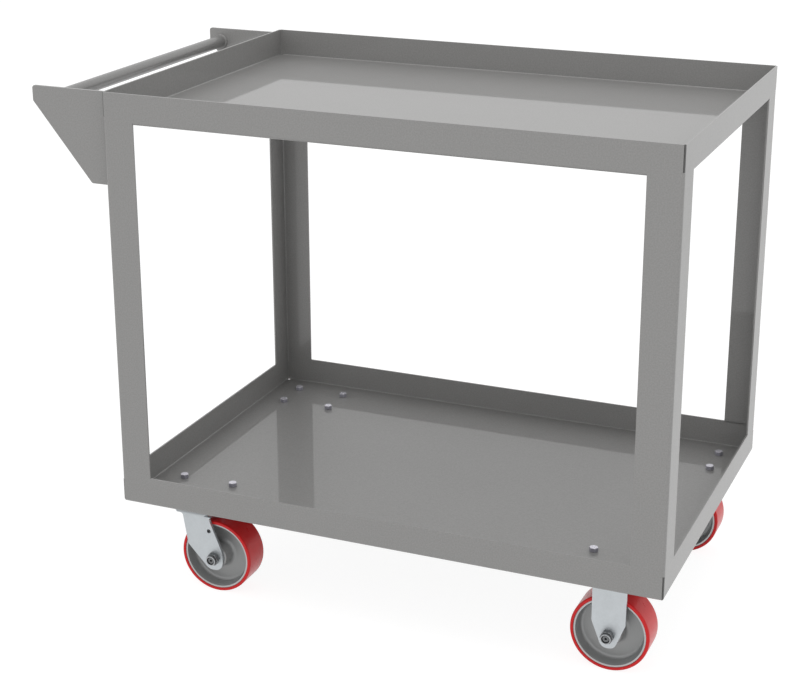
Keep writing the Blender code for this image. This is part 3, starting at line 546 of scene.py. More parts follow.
def flat(name, loops, thickness, at=0.0):
    """A flat piece in XY whose middle is at height `at`. Loops inside the first are holes."""
    bm = bmesh.new()
    sides = []
    for height in (at - thickness / 2, at + thickness / 2):
        rings = [[bm.verts.new((x, y, height)) for x, y in loop] for loop in loops]
        edges = [bm.edges.new(pair) for ring in rings for pair in zip(ring, ring[1:] + ring[:1])]
        bmesh.ops.triangle_fill(bm, use_beauty=True, edges=edges, normal=(0, 0, 1))
        sides.append(rings)
    for low, high in zip(*sides):
        around = zip(low, low[1:] + low[:1], high[1:] + high[:1], high)
        for corners in around:
            bm.faces.new(corners)
    return new_piece(name, bm)


def turned(name, profile, steps=ROUND_STEPS):
    """A turned piece round Z. Its half section (radius, height) closes unless it starts at 0."""
    bm = bmesh.new()
    rows = []
    for radius, height in profile:
        around = circle(radius, steps) if radius else [(0, 0)]
        rows.append([bm.verts.new((x, y, height)) for x, y in around])
    below = rows[1:] + rows[:1] if profile[0][0] else rows[1:]
    for upper, lower in zip(rows, below):
        for step in range(steps):
            ahead = step + 1
            corners = [
                upper[step % len(upper)],
                lower[step % len(lower)],
                lower[ahead % len(lower)],
                upper[ahead % len(upper)],
            ]
            distinct = list(dict.fromkeys(corners))
            if len(distinct) > 2:
                bm.faces.new(distinct)
    return new_piece(name, bm)


def copied(piece):
    """A second piece of the same shape."""
    twin = piece.copy()
    twin.data = piece.data.copy()
    bpy.context.scene.collection.objects.link(twin)
    return twin


def moved(piece, matrix):
    """The piece with its mesh moved."""
    piece.data.transform(matrix)
    return piece


def shift(x=0.0, y=0.0, z=0.0):
    """A move."""
    return Matrix.Translation((x, y, z))


def turn(angle, axis):
    """A turn about an axis through the origin."""
    return Matrix.Rotation(angle, 4, axis)


def settle(piece):
    """Apply the piece's modifiers to its mesh."""
    graph = bpy.context.evaluated_depsgraph_get()
    mesh = bpy.data.meshes.new_from_object(piece.evaluated_get(graph), depsgraph=graph)
    piece.modifiers.clear()
    piece.data = mesh
    return piece


def carve(piece, *others, operation="DIFFERENCE"):
    """Cut the piece with the others, or trim or join it with them, and take the others away."""
    for other in others:
        change = piece.modifiers.new("Carve", "BOOLEAN")
        change.object = other
        change.operation = operation
    settle(piece)
    for other in others:
        bpy.data.objects.remove(other)
    return piece


def joined(name, pieces):
    """One piece made of several."""
    bm = bmesh.new()
    for piece in pieces:
        bm.from_mesh(piece.data)
        bpy.data.objects.remove(piece)
    mesh = bpy.data.meshes.new(name)
    bm.to_mesh(mesh)
    bm.free()
    whole = bpy.data.objects.new(name, mesh)
    bpy.context.scene.collection.objects.link(whole)
    return whole


def soften(piece, width, keep=None, segments=2):
    """Round the piece's sharp edges, and mark the rounding for the finishes.

    Edges whose ends both meet the test `keep` stay sharp, as where two pieces are welded flush.
    """
    bm = bmesh.new()
    bm.from_mesh(piece.data)
    bmesh.ops.remove_doubles(bm, verts=bm.verts, dist=WELD)
    bmesh.ops.dissolve_limit(bm, angle_limit=math.radians(0.5), verts=bm.verts, edges=bm.edges)
    layer = bm.faces.layers.float.new(EDGE_WEAR_AND_HIGHLIGHT)
    whole = [edge for edge in bm.edges if edge.is_manifold]
    sharp = [edge for edge in whole if edge.calc_face_angle() > SHARP_ANGLE]
    if keep:
        sharp = [edge for edge in sharp if not all(keep(vert.co) for vert in edge.verts)]
    made = bmesh.ops.bevel(
        bm,
        geom=sharp,
        offset=width,
        segments=segments,
        profile=0.5,
        affect="EDGES",
        clamp_overlap=True,
    )
    for face in made["faces"]:
        face[layer] = 1.0
    bm.to_mesh(piece.data)
    bm.free()
    return piece


def mark(piece, name, test):
    """Mark the piece's faces that meet the test, for the finishes."""
    marks = piece.data.attributes.get(name) or piece.data.attributes.new(name, "FLOAT", "FACE")
    for face in piece.data.polygons:
        if test(face):
            marks.data[face.index].value = 1.0
    return piece


def dress(piece, material, body, slot, *nodes):
    """Shade the piece, give it its finish, and put it on its body in place of those nodes."""
    piece.data.materials.clear()
    piece.data.materials.append(material)
    piece.data.shade_smooth()
    piece.data.set_sharp_from_angle(angle=SHARP_ANGLE)
    normals = piece.modifiers.new("Even normals", "WEIGHTED_NORMAL")
    normals.keep_sharp = True
    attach(piece, body)
    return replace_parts(piece, *nodes)


def on_deck(loop, deck):
    """The loop, drawn inward from a corner at (0, 0), at each corner of the deck."""
    return [
        [(side_x * (deck.x / 2 - x), side_y * (deck.y / 2 - y)) for x, y in loop]
        for side_x in (-1, 1)
        for side_y in (-1, 1)
    ]


def bolt_places(corner):
    """Where a caster's four bolts stand."""
    return [middle("caster_bolt_%s_%d" % (corner, number)) for number in range(1, 5)]


def bolt_hole(spot, centre):
    """The outline of a hole for a caster bolt, counted from the piece's centre."""
    radius = sizes().bolt_radius + sizes().gap
    return circle(radius, 24, (spot.x - centre.x, spot.y - centre.y))


# Operators


class CART_OT_trays(bpy.types.Operator):
    """Fold the two shelf trays from sheet, with open seams and relief holes at their corners"""

    bl_idname = "cart.trays"
    bl_label = "Trays"

    def execute(self, context):
        self.make("top_tray", seats_at_rim=False)
        self.make("bottom_tray", seats_at_rim=True)
        return {"FINISHED"}

    def make(self, node, seats_at_rim):
        """One tray, and the notches in its lips that take the posts' ends."""
        size = sizes()
        deck = extent(node)
        bm = bmesh.new()
        bmesh.ops.create_cube(bm, size=1)
        bmesh.ops.scale(bm, verts=bm.verts, vec=deck)
        bmesh.ops.translate(bm, verts=bm.verts, vec=(0, 0, deck.z / 2))
        rim = [face for face in bm.faces if face.normal.z > 0.5]
        bmesh.ops.delete(bm, geom=rim, context="FACES_ONLY")
        folds = [edge for edge in bm.edges if not any(vert.co.z > 0 for vert in edge.verts)]
        bmesh.ops.bevel(bm, geom=folds, offset=size.fold, segments=8, profile=0.5, affect="EDGES")
        tray = new_piece(node + "_sheet", bm)
        if max(face.normal.z for face in tray.data.polygons) > UP:
            tray.data.flip_normals()
        sheet = tray.modifiers.new("Sheet", "SOLIDIFY")
        sheet.thickness = size.sheet
        sheet.offset = -1
        sheet.use_even_offset = True

        over = 2 * size.fold
        depth = size.sheet * SEAM_SHARE
        seam = [(-over, -over), (depth, -over), (depth, depth), (-over, depth)]
        relief = circle(size.relief, 24, (size.fold, size.fold))
        reach = extent("post_front_left").x
        seat = [(-over, -over), (reach, -over), (reach, depth), (depth, depth), (depth, reach)]
        seat.append((-over, reach))
        cutters = self.cutters(seam, deck, 4 * deck.z)
        cutters += self.cutters(relief, deck, 2 * size.relief_top)
        cutters += self.cutters(seat, deck, 2 * size.post_seat, deck.z if seats_at_rim else 0.0)
        centre = middle(node)
        if seats_at_rim:
            for corner in CORNERS:
                for spot in bolt_places(corner):
                    cutters.append(flat("hole", [bolt_hole(spot, centre)], 4 * size.fold))
        carve(tray, *cutters)
        end, side = deck.x / 2 - size.sheet, deck.y / 2 - size.sheet
        # marks the faces inside the open seams, which the paint darkens as painted shade
        mark(tray, SEAM_SHADE, lambda face: abs(face.center.x) > end and abs(face.center.y) > side)
        low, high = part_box(node)
        moved(tray, shift(centre.x, centre.y, low.z))
        seat_at = high.z if seats_at_rim else low.z

        def in_seat(point):
            near_end = abs(point.x - centre.x) > deck.x / 2 - reach - TINY
            near_side = abs(point.y) > deck.y / 2 - reach - TINY
            return near_end and near_side and abs(point.z - seat_at) < size.post_seat + TINY

        soften(tray, size.edge, in_seat)
        dress(tray, grey_paint(), FRAME_BODY, "grey_paint", node)

    def cutters(self, loop, deck, tall, at=0.0):
        """The loop as an upright cutter at each corner of the deck."""
        return [flat("cut", [there], tall, at) for there in on_deck(loop, deck)]


class CART_OT_posts(bpy.types.Operator):
    """Fold the four corner posts from sheet"""

    bl_idname = "cart.posts"
    bl_label = "Posts"

    def execute(self, context):
        size = sizes()
        for quarter, corner in enumerate(("back_right", "back_left", "front_left", "front_right")):
            node = "post_" + corner
            box = extent(node)
            inside = size.fold - size.sheet
            outline = rounded(
                [
                    (-box.x, 0, 0),
                    (0, 0, size.fold),
                    (0, -box.x, 0),
                    (-size.sheet, -box.x, 0),
                    (-size.sheet, -size.sheet, inside),
                    (-box.x, -size.sheet, 0),
                ]
            )
            post = flat(node + "_sheet", [outline], box.z + 2 * size.gap)
            moved(post, turn(ON_EDGE * quarter, "Z"))
            spot = middle(node) + Vector(
                (
                    box.x / 2 if corner.endswith("right") else -box.x / 2,
                    box.y / 2 if corner.startswith("back") else -box.y / 2,
                    0,
                )
            )
            moved(post, Matrix.Translation(spot))
            low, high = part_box(node)
            soften(post, size.edge, lambda point: not low.z < point.z < high.z)
            dress(post, grey_paint(), FRAME_BODY, "grey_paint", node)
        return {"FINISHED"}


class CART_OT_handle_plates(bpy.types.Operator):
    """Cut the two plates that carry the grip"""

    bl_idname = "cart.handle_plates"
    bl_label = "Handle Plates"

    def execute(self, context):
        size = sizes()
        for side in ("front", "back"):
            node = "handle_plate_" + side
            low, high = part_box(node)
            outline = rounded(
                [
                    (high.x, high.z, 0),
                    (low.x, high.z, size.handle_corner),
                    (low.x, high.z - size.nose, size.handle_corner),
                    (high.x - size.foot, low.z, size.handle_corner),
                    (high.x, low.z, 0),
                ]
            )
            plate = flat(node + "_cut", [outline], high.y - low.y)
            moved(plate, shift(y=middle(node).y) @ turn(ON_EDGE, "X"))
            soften(plate, size.edge)
            dress(plate, grey_paint(), FRAME_BODY, "grey_paint", node)
        return {"FINISHED"}


class CART_OT_grip(bpy.types.Operator):
    """Make the grip tube and the rippled weld bead round each of its ends"""

    bl_idname = "cart.grip"
    bl_label = "Grip"

    def execute(self, context):
        size = sizes()
        node = "handle_tube"
        half = extent(node).y / 2
        bore = size.tube * 0.8
        section = [(size.tube, half), (size.tube, -half), (bore, -half), (bore, half)]
        tube = turned("tube", section, 64)
        grip = joined("grip_tube", [tube, self.bead(half, -1), self.bead(half, 1)])
        centre = middle(node)
        moved(grip, Matrix.Translation(centre) @ turn(ON_EDGE, "X"))
        # painted shade: the grip's enamel is the grey enamel darkened to 0.8
        grip_shaded_paint = finish_named("grip_enamel_painted_shade", paint_finish, shade(colours().paint, 0.8)[:3])
        dress(grip, grip_shaded_paint, FRAME_BODY, "grey_paint", node)
        return {"FINISHED"}

    def bead(self, half, end):
        """The weld bead at one end of the tube: a fillet laid on in overlapping drops."""
        size = sizes()
        drops = 26
        leg = size.bead
        profile = [
            (size.tube + leg, half),
            (size.tube + leg * 0.93, half - leg * 0.28),
            (size.tube + leg * 0.62, half - leg * 0.62),
            (size.tube + leg * 0.28, half - leg * 0.93),
            (size.tube - leg * 0.1, half - leg),
            (size.tube - leg * 0.1, half),
        ]
        ring = turned("bead", profile, drops * 8)
        for vert in ring.data.vertices:
            around = math.atan2(vert.co.y, vert.co.x)
            radius = math.hypot(vert.co.x, vert.co.y)
            swell = 0.10 * leg * math.cos(around * drops) * (radius - size.tube) / leg
            swell -= 0.10 * (radius - size.tube)
            vert.co.x *= 1 + swell / radius
            vert.co.y *= 1 + swell / radius
        if end < 0:
            moved(ring, turn(math.pi, "X"))
        return ring


class CART_OT_caster_bolts(bpy.types.Operator):
    """Make the sixteen hex bolts and nuts that hold the casters"""

    bl_idname = "cart.caster_bolts"
    bl_label = "Caster Bolts"

    def execute(self, context):
        nodes = []
        pieces = []
        draft = None
        for corner in CORNERS:
            for number, spot in enumerate(bolt_places(corner), 1):
                node = "caster_bolt_%s_%d" % (corner, number)
                low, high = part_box(node)
                nodes.append(node)
                draft = draft or self.bolt(high.z - low.z)
                pieces.append(moved(copied(draft), shift(spot.x, spot.y, high.z)))
        bpy.data.objects.remove(draft)
        bolts = joined("caster_bolts", pieces)
        tint = colours().bolt_zinc
        # its 2.6 paints the marked head tops lighter as a painted highlight
        material = finish_named("blue_zinc_plate", zinc_finish, tint, 0.28, 2.6, 0.45)
        dress(bolts, material, FRAME_BODY, "blue_zinc", *nodes)
        return {"FINISHED"}

    def bolt(self, height):
        """A bolt whose head's top is at 0, with its nut and a few turns of thread showing."""
        size = sizes()
        head = chamfered_hexagon("head", size.bolt_across, size.bolt_head, both=False)
        # painted highlight: the heads' top faces are marked to be painted lighter
        mark(head, EDGE_WEAR_AND_HIGHLIGHT, lambda face: face.normal.z > UP)
        moved(head, shift(z=-size.bolt_head))
        plate_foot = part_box("rigid_plate_front_right")[0].z
        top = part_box("caster_bolt_front_right_1")[1].z
        nut_top = plate_foot - size.gap - top
        nut = chamfered_hexagon("nut", size.bolt_across, size.bolt_nut, both=True)
        moved(nut, shift(z=nut_top - size.bolt_nut))
        shank = threaded("shank", size.bolt_radius, -height, -size.bolt_head / 2)
        return joined("bolt", [head, nut, shank])


def chamfered_hexagon(name, across, height, both):
    """A hexagon from 0 up, its corners turned off in a cone at the top, or at both ends."""
    corner = across / 2 / math.cos(math.pi / 6)
    drop = (corner - across / 2) * CHAMFER_SLOPE
    face = across / 2 * CHAMFER_FACE
    clear = corner * 1.01
    block = flat(name, [hexagon(across)], height, height / 2)
    foot = [(clear, drop), (face, 0)] if both else [(clear, 0), (corner * 0.99, 0)]
    profile = [(0, height), (face, height), (clear, height - drop), *foot, (0, 0)]
    carve(block, turned(name + "_cone", profile, 48), operation="INTERSECT")
    return soften(block, sizes().edge / 2, segments=1)


def threaded(name, radius, foot, head, pitch=BOLT_PITCH):
    """A shank with ridges of thread along it, from foot up to head."""
    depth = pitch * THREAD_DEPTH
    profile = [(0, head), (radius, head)]
    height = head
    while height - pitch > foot:
        profile += [(radius, height - pitch * 0.1), (radius - depth, height - pitch * 0.5)]
        height -= pitch
    profile += [(radius - depth, foot), (0, foot)]
    return turned(name, profile, 24)


class CART_OT_caster_plates(bpy.types.Operator):
    """Make the four top plates, with ball races under the two that swivel"""

    bl_idname = "cart.caster_plates"
    bl_label = "Caster Plates"

    def execute(self, context):
        for corner in RIGID_CORNERS:
            self.make("rigid_plate_" + corner, corner)
        for corner in SWIVEL_CORNERS:
            self.make("swivel_plate_" + corner, corner)
        return {"FINISHED"}

    def make(self, node, corner):
        """One plate with its bolt holes, and its race where it swivels."""
        size = sizes()
        low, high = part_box(node)
        centre = middle(node)
        half_x, half_y = (high.x - low.x) / 2, (high.y - low.y) / 2
        corners = ((half_x, half_y), (-half_x, half_y), (-half_x, -half_y), (half_x, -half_y))
        outline = rounded([(x, y, size.plate_corner) for x, y in corners])
        plate = flat(node + "_steel", [outline], size.caster_plate, -size.caster_plate / 2)
        for spot in bolt_places(corner):
            carve(plate, flat("hole", [bolt_hole(spot, centre)], 3 * size.caster_plate))
        soften(plate, size.edge * 1.5)
        if node.startswith("swivel"):
            plate = joined(node + "_steel_set", [plate] + self.race(low.z - high.z))
        moved(plate, shift(centre.x, centre.y, high.z))
        dress(plate, bright_zinc(), FRAME_BODY, "bright_zinc", node)

    def race(self, foot):
        """The upper race, its dust skirt and its balls, under a plate whose top is at 0."""
        size = sizes()
        top = size.gap - size.caster_plate
        race_foot = foot + 2 * BALL_SHARE * size.ball
        lap = race_foot - size.skirt_lap
        inside = size.skirt - size.skirt_wall
        profile = rounded(
            [
                (size.skirt, top, 0),
                (size.skirt, lap, size.skirt_wall * 0.6),
                (inside, lap, size.skirt_wall * 0.4),
                (inside, race_foot, 0),
                (size.race_bore, race_foot, size.skirt_wall * 0.4),
                (size.race_bore, top, 0),
            ]
        )
        return [turned("race", profile), *balls(size.ball, size.ball_pitch, 12, foot + size.ball)]


def balls(radius, pitch, count, height, around=20):
    """A ring of balls whose middles are at that height."""
    steps = 12
    angles = [math.pi * step / steps for step in range(1, steps)]
    section = [(radius * math.sin(angle), radius * math.cos(angle)) for angle in angles]
    section = [(0, radius), *section, (0, -radius)]
    places = circle(pitch, count)
    return [moved(turned("ball", section, around), shift(x, y, height)) for x, y in places]


class CART_OT_rigid_forks(bpy.types.Operator):
    """Fold the two rigid forks"""

    bl_idname = "cart.rigid_forks"
    bl_label = "Rigid Forks"

    def execute(self, context):
        size = sizes()
        for corner in RIGID_CORNERS:
            node = "rigid_fork_" + corner
            low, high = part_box(node)
            axle = middle("wheel_tread_" + corner).z
            half = (high.x - low.x) / 2
            taper = axle + size.taper
            outline = rounded(
                [
                    (half, high.z + size.fork_bend, 0),
                    (-half, high.z + size.fork_bend, 0),
                    (-half, taper, size.knee_round),
                    (-size.rigid_tip, low.z, size.rigid_round),
                    (size.rigid_tip, low.z, size.rigid_round),
                    (half, taper, size.knee_round),
                ]
            )
            fork = fold_fork(node + "_steel", high.y - low.y, high.z, low.z, 2 * half, [outline])
            carve(fork, drilled_across(size.axle + size.gap, (0, axle)))
            moved(fork, shift((low.x + high.x) / 2, (low.y + high.y) / 2))
            soften(fork, size.edge * 1.5)
            dress(fork, bright_zinc(), FRAME_BODY, "bright_zinc", node)
        return {"FINISHED"}


def fold_fork(name, width, top, foot, span, loops):
    """A strip folded into two legs under a crown, and trimmed to its outline from the side."""
    size = sizes()
    half = width / 2
    inner = half - size.fork_sheet
    low = foot - size.fork_bend
    bend = size.fork_bend - size.fork_sheet
    section = rounded(
        [
            (-half, low, 0),
            (-half, top, size.fork_bend),
            (half, top, size.fork_bend),
            (half, low, 0),
            (inner, low, 0),
            (inner, top - size.fork_sheet, bend),
            (-inner, top - size.fork_sheet, bend),
            (-inner, low, 0),
        ]
    )
    fork = flat(name, [section], 2 * span)
    moved(fork, turn(ON_EDGE, "Z") @ turn(ON_EDGE, "X"))
    side = moved(flat("side", loops, 2 * width), turn(ON_EDGE, "X"))
    return carve(fork, side, operation="INTERSECT")


def drilled_across(radius, spot, steps=SMALL_ROUND_STEPS):
    """A cutter for a hole along Y at (x, z)."""
    return moved(flat("hole", [circle(radius, steps, spot)], THROUGH), turn(ON_EDGE, "X"))


class CART_OT_swivel_forks(bpy.types.Operator):
    """Fold the two swept forks that turn on king pins"""

    bl_idname = "cart.swivel_forks"
    bl_label = "Swivel Forks"

    def execute(self, context):
        size = sizes()
        for corner in SWIVEL_CORNERS:
            node = "swivel_fork_" + corner
            low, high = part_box(node)
            pivot = middle("kingpin_" + corner)
            wheel = middle("wheel_tread_" + corner)
            lead = wheel.x - pivot.x
            crown = pivot.x - low.x
            outline = self.outline(lead, crown, wheel.z, low.z, high.z)
            width = size.fork_inside + 2 * size.fork_sheet
            span = high.x - low.x + 2 * crown
            fork = fold_fork(node + "_steel", width, high.z, low.z, span, [outline])
            drop = size.fork_sheet + size.crown_lap * 1.25
            reach = 4 * crown
            square = [(-reach, -reach), (reach, -reach), (reach, reach), (-reach, reach)]
            tall = drop + 2 * size.fork_bend
            loops = [square, circle(crown, ROUND_STEPS)]
            trim = flat("trim", loops, tall, high.z - drop + tall / 2)
            axle = drilled_across(size.axle + size.gap, (lead, wheel.z))
            spot = (lead - size.lock_back, wheel.z + size.lock_up)
            lock = drilled_across(size.lock_hole, spot, 24)
            bore = flat("bore", [circle(size.king_pin + size.gap)], 2 * size.fork_bend, high.z)
            carve(fork, trim, axle, lock, bore)
            moved(fork, shift(pivot.x, pivot.y))
            soften(fork, size.edge * 1.5)
            dress(fork, bright_zinc(), "swivel_" + corner, "bright_zinc", node)
        return {"FINISHED"}

    def outline(self, lead, crown, axle, tip, top):
        """A fork from the side, from the king pin: the crown, and a leg swept to the axle."""
        size = sizes()
        over = size.fork_bend
        shoulder = top - size.fork_sheet - size.crown_lap
        return rounded(
            [
                (crown + over, top + over, 0),
                (-crown - over, top + over, 0),
                (-crown - over, shoulder, 0),
                (-size.leg_back, shoulder, size.fold),
                (-size.waist, axle + size.waist_up, size.knee_round),
                (lead - size.tip_back, tip, size.tip_round),
                (lead + size.tip_front, tip, size.tip_round),
                (lead + size.tip_front, axle + size.tip_up, size.front_round),
                (size.leg_front, shoulder, size.fold),
                (crown + over, shoulder, 0),
            ]
        )


class CART_OT_king_pins(bpy.types.Operator):
    """Turn the king pins, their nuts and the lower ball races"""

    bl_idname = "cart.king_pins"
    bl_label = "King Pins"

    def execute(self, context):
        size = sizes()
        radius = size.king_pin
        steel = finish_named("oiled_steel", steel_finish, colours().steel)
        for corner in SWIVEL_CORNERS:
            node = "kingpin_" + corner
            low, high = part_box(node)
            plain = high.z - size.pin_plain
            foot = plain - 2.5 * size.edge
            pin = threaded(node + "_turned", radius, low.z, plain, KING_PIN_PITCH)
            profile = [(size.pin_head, high.z), (radius, high.z - size.pin_cone), (radius, foot)]
            head = turned("head", [(0, high.z), *profile, (0, foot)], 48)
            pin = joined(node + "_turned", [pin, head])
            moved(pin, shift(middle(node).x, middle(node).y))
            dress(pin, steel, FRAME_BODY, "dark_steel", node)

            node = "kingpin_nut_" + corner
            box = extent(node)
            nut = chamfered_hexagon(node + "_hex", min(box.x, box.y), box.z, both=True)
            carve(nut, flat("bore", [circle(radius + size.gap)], THROUGH))
            moved(nut, shift(middle(node).x, middle(node).y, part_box(node)[0].z))
            dress(nut, bright_zinc(), FRAME_BODY, "bright_zinc", node)

            node = "lower_race_" + corner
            low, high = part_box(node)
            outer = (high.x - low.x) / 2
            bore = radius + size.gap
            top = high.z - 2 * size.lower_ball * LOWER_BALL_SHARE
            corners = [(outer, top, 1.25 * size.edge), (outer, low.z, 2.5 * size.edge)]
            corners += [(bore, low.z, 0), (bore, top, 0)]
            ring = turned("ring", rounded(corners))
            made = balls(size.lower_ball, size.lower_pitch, 16, high.z - size.lower_ball, 16)
            race = joined(node + "_turned", [ring, *made])
            moved(race, shift(middle(node).x, middle(node).y))
            dress(race, bright_zinc(), FRAME_BODY, "bright_zinc", node)
        return {"FINISHED"}


class CART_OT_axles(bpy.types.Operator):
    """Make the four axle bolts with their nuts, and finish the roller sleeves on them"""

    bl_idname = "cart.axles"
    bl_label = "Axles"

    def execute(self, context):
        size = sizes()
        bearing = finish_named("ground_steel", steel_finish, colours().bearing, 0.16)
        for corner in CORNERS:
            body = "swivel_" + corner if corner in SWIVEL_CORNERS else FRAME_BODY
            outward = -1 if corner.startswith("front") else 1
            node = "axle_bolt_" + corner
            low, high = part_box(node)
            centre = middle("wheel_tread_" + corner)
            end = abs((low.y if outward < 0 else high.y) - centre.y)
            head_end = abs((high.y if outward < 0 else low.y) - centre.y)
            face = matrix_outward(centre, outward)
            tip = end - size.axle_recess
            profile = rounded(
                [
                    (0, tip - size.centre_depth, 0),
                    (size.centre_hole, tip - size.centre_depth, 0),
                    (size.centre_hole, tip, size.gap),
                    (size.axle - size.axle_chamfer, tip, 0),
                    (size.axle, tip - size.axle_chamfer, 0),
                    (size.axle, size.axle_head / 2 - head_end, 0),
                    (0, size.axle_head / 2 - head_end, 0),
                ],
                closed=False,
            )
            shank = turned(node + "_shank", profile, 48)
            head = chamfered_hexagon("head", size.axle_across, size.axle_head, both=False)
            moved(head, shift(z=size.axle_head - head_end) @ turn(math.pi, "X"))
            bolt = joined(node + "_turned", [shank, head])
            moved(bolt, face)
            dress(bolt, axle_zinc(), body, "bright_zinc", node)

            node = "axle_nut_" + corner
            low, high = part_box(node)
            seat = abs((high.y if outward < 0 else low.y) - centre.y)
            collar_end = abs((low.y if outward < 0 else high.y) - centre.y)
            nut = self.nut(node, collar_end - seat - size.collar_height, end - seat)
            moved(nut, face @ shift(z=seat))
            dress(nut, axle_zinc(), body, "dark_steel", node)
            sleeve = frame["nodes"]["roller_sleeve_" + corner]
            sleeve.data.materials.clear()
            sleeve.data.materials.append(bearing)
        return {"FINISHED"}

    def nut(self, node, hex_height, height):
        """A lock nut: a hexagon with a round collar on its outer end, whose lip carries a painted
        highlight.
        """
        size = sizes()
        bore = size.axle + size.gap
        lap = 2.5 * size.edge
        block = chamfered_hexagon(node + "_hex", size.axle_across, hex_height, both=True)
        corners = [(size.collar, hex_height - lap, 0), (size.collar, height, 3 * size.edge)]
        corners += [(bore, height, size.edge), (bore, hex_height - lap, 0)]
        carve(block, flat("bore", [circle(bore)], THROUGH))
        collar = turned("collar", rounded(corners), 64)
        # painted highlight: the collar's outer end is marked to be painted lighter
        mark(collar, EDGE_WEAR_AND_HIGHLIGHT, lambda face: face.center.z > height - lap)
        return joined(node + "_turned", [block, collar])


def matrix_outward(centre, outward):
    """Takes a piece round Z to a wheel's middle, with its +Z pointing to the cart's outer side."""
    return Matrix.Translation(centre) @ turn(-outward * ON_EDGE, "X")


class CART_OT_wheels(bpy.types.Operator):
    """Turn the four cast wheel centres and mould their treads"""

    bl_idname = "cart.wheels"
    bl_label = "Wheels"

    def execute(self, context):
        size = sizes()
        for corner in CORNERS:
            node = "wheel_tread_" + corner
            centre = middle(node)
            radius = extent(node).z / 2
            width = extent(node).y
            tread = turned(node + "_moulded", self.tread_profile(radius, width), 128)
            self.put(tread, centre)
            material = finish_named("moulded_tread", tread_finish, radius)
            dress(tread, material, "wheel_" + corner, "red_tread", node)
            tread.data.set_sharp_from_angle(angle=math.radians(60))

            node = "wheel_hub_" + corner
            rim = radius - size.tread - size.gap
            hub = turned(node + "_cast", self.hub_profile(rim, extent(node).y), 128)
            self.put(hub, centre)
            material = finish_named("casting", casting_finish, size.rim_width / 2)
            dress(hub, material, "wheel_" + corner, "cast_iron", node)
        return {"FINISHED"}

    def put(self, piece, centre):
        """Turn a piece onto the axle, with its origin there."""
        moved(piece, turn(ON_EDGE, "X"))
        piece.location = centre

    def tread_profile(self, radius, width):
        """The tread's section, its outer edges rounded."""
        size = sizes()
        side = width / 2
        inner = radius - size.tread
        arc = []
        steps = 8
        for step in range(steps + 1):
            angle = math.pi / 2 * step / steps
            arc.append(
                (
                    radius - size.tread_edge * 0.6 * (1 - math.cos(angle)),
                    side - size.tread_edge * (1 - math.sin(angle)),
                )
            )
        crown = [(r, -h) for r, h in arc[::-1]]
        return arc[::-1] + crown[::-1] + [(inner, -side), (inner, side)]

    def hub_profile(self, rim, length):
        """The casting's section: rim bead, sloped rim, filleted web and tapered hub."""
        size = sizes()
        rim_side = size.rim_width / 2
        web = size.web / 2
        bead = rim - size.rim_bead
        one_side = [
            (rim, rim_side, size.edge * 1.25),
            (bead, rim_side, size.edge * 1.75),
            (bead - size.rim_slope, web, size.web_fillet),
            (size.hub + size.hub_taper, web, size.hub_fillet),
            (size.hub, length / 2, size.hub_edge),
            (size.sleeve + size.gap, length / 2, size.edge * 1.5),
        ]
        other = [(r, -h, fillet) for r, h, fillet in one_side[::-1]]
        return [tuple(point) for point in rounded(one_side + other)]


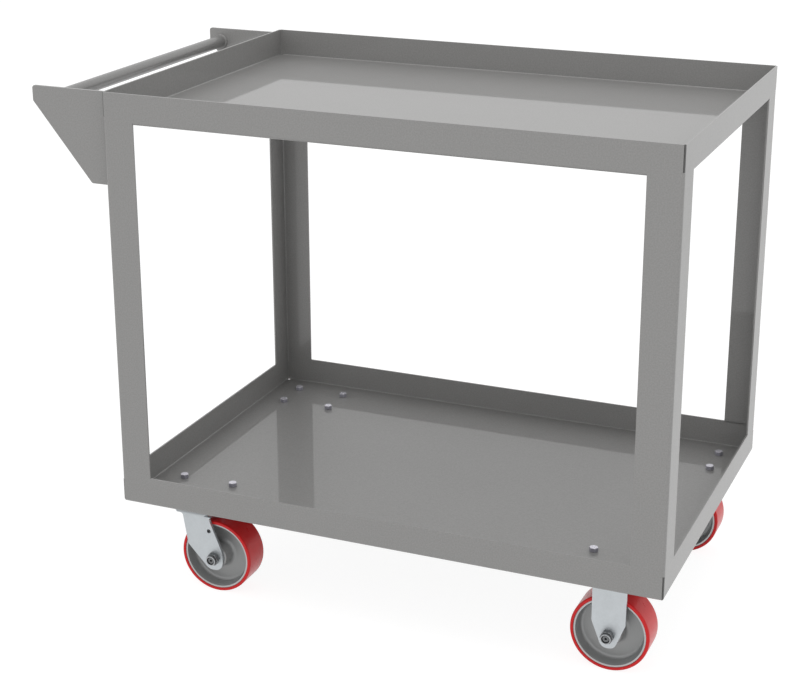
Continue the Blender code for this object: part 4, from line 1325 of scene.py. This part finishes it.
class CART_OT_stage(bpy.types.Operator):
    """Set the floor, the light, the white surroundings and the camera"""

    bl_idname = "cart.stage"
    bl_label = "Stage"

    def execute(self, context):
        self.floor()
        self.surroundings(context.scene)
        self.lamp("key_light", (0.5, -1.6, 4.8), 3.0, 46)
        self.lamp("fill_light", (-3.4, -1.6, 2.6), 3.0, 6)
        self.camera(context.scene)
        context.scene.view_settings.view_transform = "Standard"
        return {"FINISHED"}

    def floor(self):
        """A wide pale floor that shows white and keeps the cart's soft shadow."""
        bm = bmesh.new()
        bmesh.ops.create_grid(bm, x_segments=1, y_segments=1, size=30)
        floor = new_piece("floor", bm)
        white = bpy.data.materials.new("floor_white")
        finish = Finish(white)
        diffuse = finish.node("ShaderNodeBsdfDiffuse", values={"Color": (0.93, 0.93, 0.93, 1)})
        glow = finish.node("ShaderNodeEmission", values={"Color": (1, 1, 1, 1), "Strength": 1.18})
        seen = self.seen(finish)
        values = {0: seen * 0.76, 1: diffuse, 2: glow}
        finish.show(finish.node("ShaderNodeMixShader", values=values))
        floor.data.materials.append(white)

    def seen(self, finish):
        """1 for rays that show the background: the camera's, and mirrored ones."""
        rays = [
            finish.node("ShaderNodeLightPath", output=name)
            for name in ("Is Camera Ray", "Is Glossy Ray", "Is Transmission Ray")
        ]
        return rays[0].maths("MAXIMUM", rays[0].maths("MAXIMUM", rays[0], rays[1]), rays[2])

    def surroundings(self, scene):
        """White surroundings that light the cart evenly."""
        world = bpy.data.worlds.new("white_studio")
        scene.world = world
        finish = Finish(world)
        values = {"Color": (1, 1, 1, 1), "Strength": 0.79 + 0.21 * self.seen(finish)}
        finish.show(finish.node("ShaderNodeBackground", values=values), "ShaderNodeOutputWorld")

    def lamp(self, name, place, size, power):
        """A large soft lamp that points at the cart's middle."""
        light = bpy.data.lights.new(name, "AREA")
        light.shape = "DISK"
        light.size = size
        light.energy = power
        lamp = bpy.data.objects.new(name, light)
        bpy.context.scene.collection.objects.link(lamp)
        lamp.location = place
        aim = Vector(LAMP_AIM) - lamp.location
        lamp.rotation_mode = "QUATERNION"
        lamp.rotation_quaternion = aim.to_track_quat("-Z", "Y")

    def camera(self, scene):
        """A camera at the photograph's viewing angle."""
        lens = bpy.data.cameras.new("camera")
        lens.sensor_width = 36
        lens.lens = FOCAL_LENGTH
        lens.shift_x = -0.0071
        lens.shift_y = -0.0604
        camera = bpy.data.objects.new("camera", lens)
        scene.collection.objects.link(camera)
        camera.location = CAMERA_PLACE
        camera.rotation_mode = "QUATERNION"
        camera.rotation_quaternion = Vector(CAMERA_AIM).to_track_quat("-Z", "Y")
        scene.camera = camera


OPERATORS = (
    CART_OT_trays,
    CART_OT_posts,
    CART_OT_handle_plates,
    CART_OT_grip,
    CART_OT_caster_bolts,
    CART_OT_caster_plates,
    CART_OT_rigid_forks,
    CART_OT_swivel_forks,
    CART_OT_king_pins,
    CART_OT_axles,
    CART_OT_wheels,
    CART_OT_stage,
)


class CART_PT_panel(bpy.types.Panel):
    """Lists the cart's sizes, colours and pieces"""

    bl_idname = "CART_PT_panel"
    bl_label = "Utility Cart"
    bl_space_type = "VIEW_3D"
    bl_region_type = "UI"
    bl_category = "Cart"

    def draw(self, context):
        layout = self.layout
        for group in (context.scene.cart_sizes, context.scene.cart_colours):
            box = layout.box()
            for name in group.__annotations__:
                box.prop(group, name)
        for operator in OPERATORS:
            layout.operator(operator.bl_idname)


CLASSES = (CartSizes, CartColours, *OPERATORS, CART_PT_panel)


def register():
    """Register the classes, and give the scene its sizes and colours."""
    for item in CLASSES:
        bpy.utils.register_class(item)
    bpy.types.Scene.cart_sizes = bpy.props.PointerProperty(type=CartSizes)
    bpy.types.Scene.cart_colours = bpy.props.PointerProperty(type=CartColours)


def unregister():
    """Take the classes and the scene's sizes and colours away again."""
    del bpy.types.Scene.cart_colours
    del bpy.types.Scene.cart_sizes
    for item in reversed(CLASSES):
        bpy.utils.unregister_class(item)


def main():
    """Build every piece and the stage."""
    register()
    for operator in OPERATORS:
        group, name = operator.bl_idname.split(".")
        getattr(getattr(bpy.ops, group), name)()


if __name__ == "__main__":
    main()
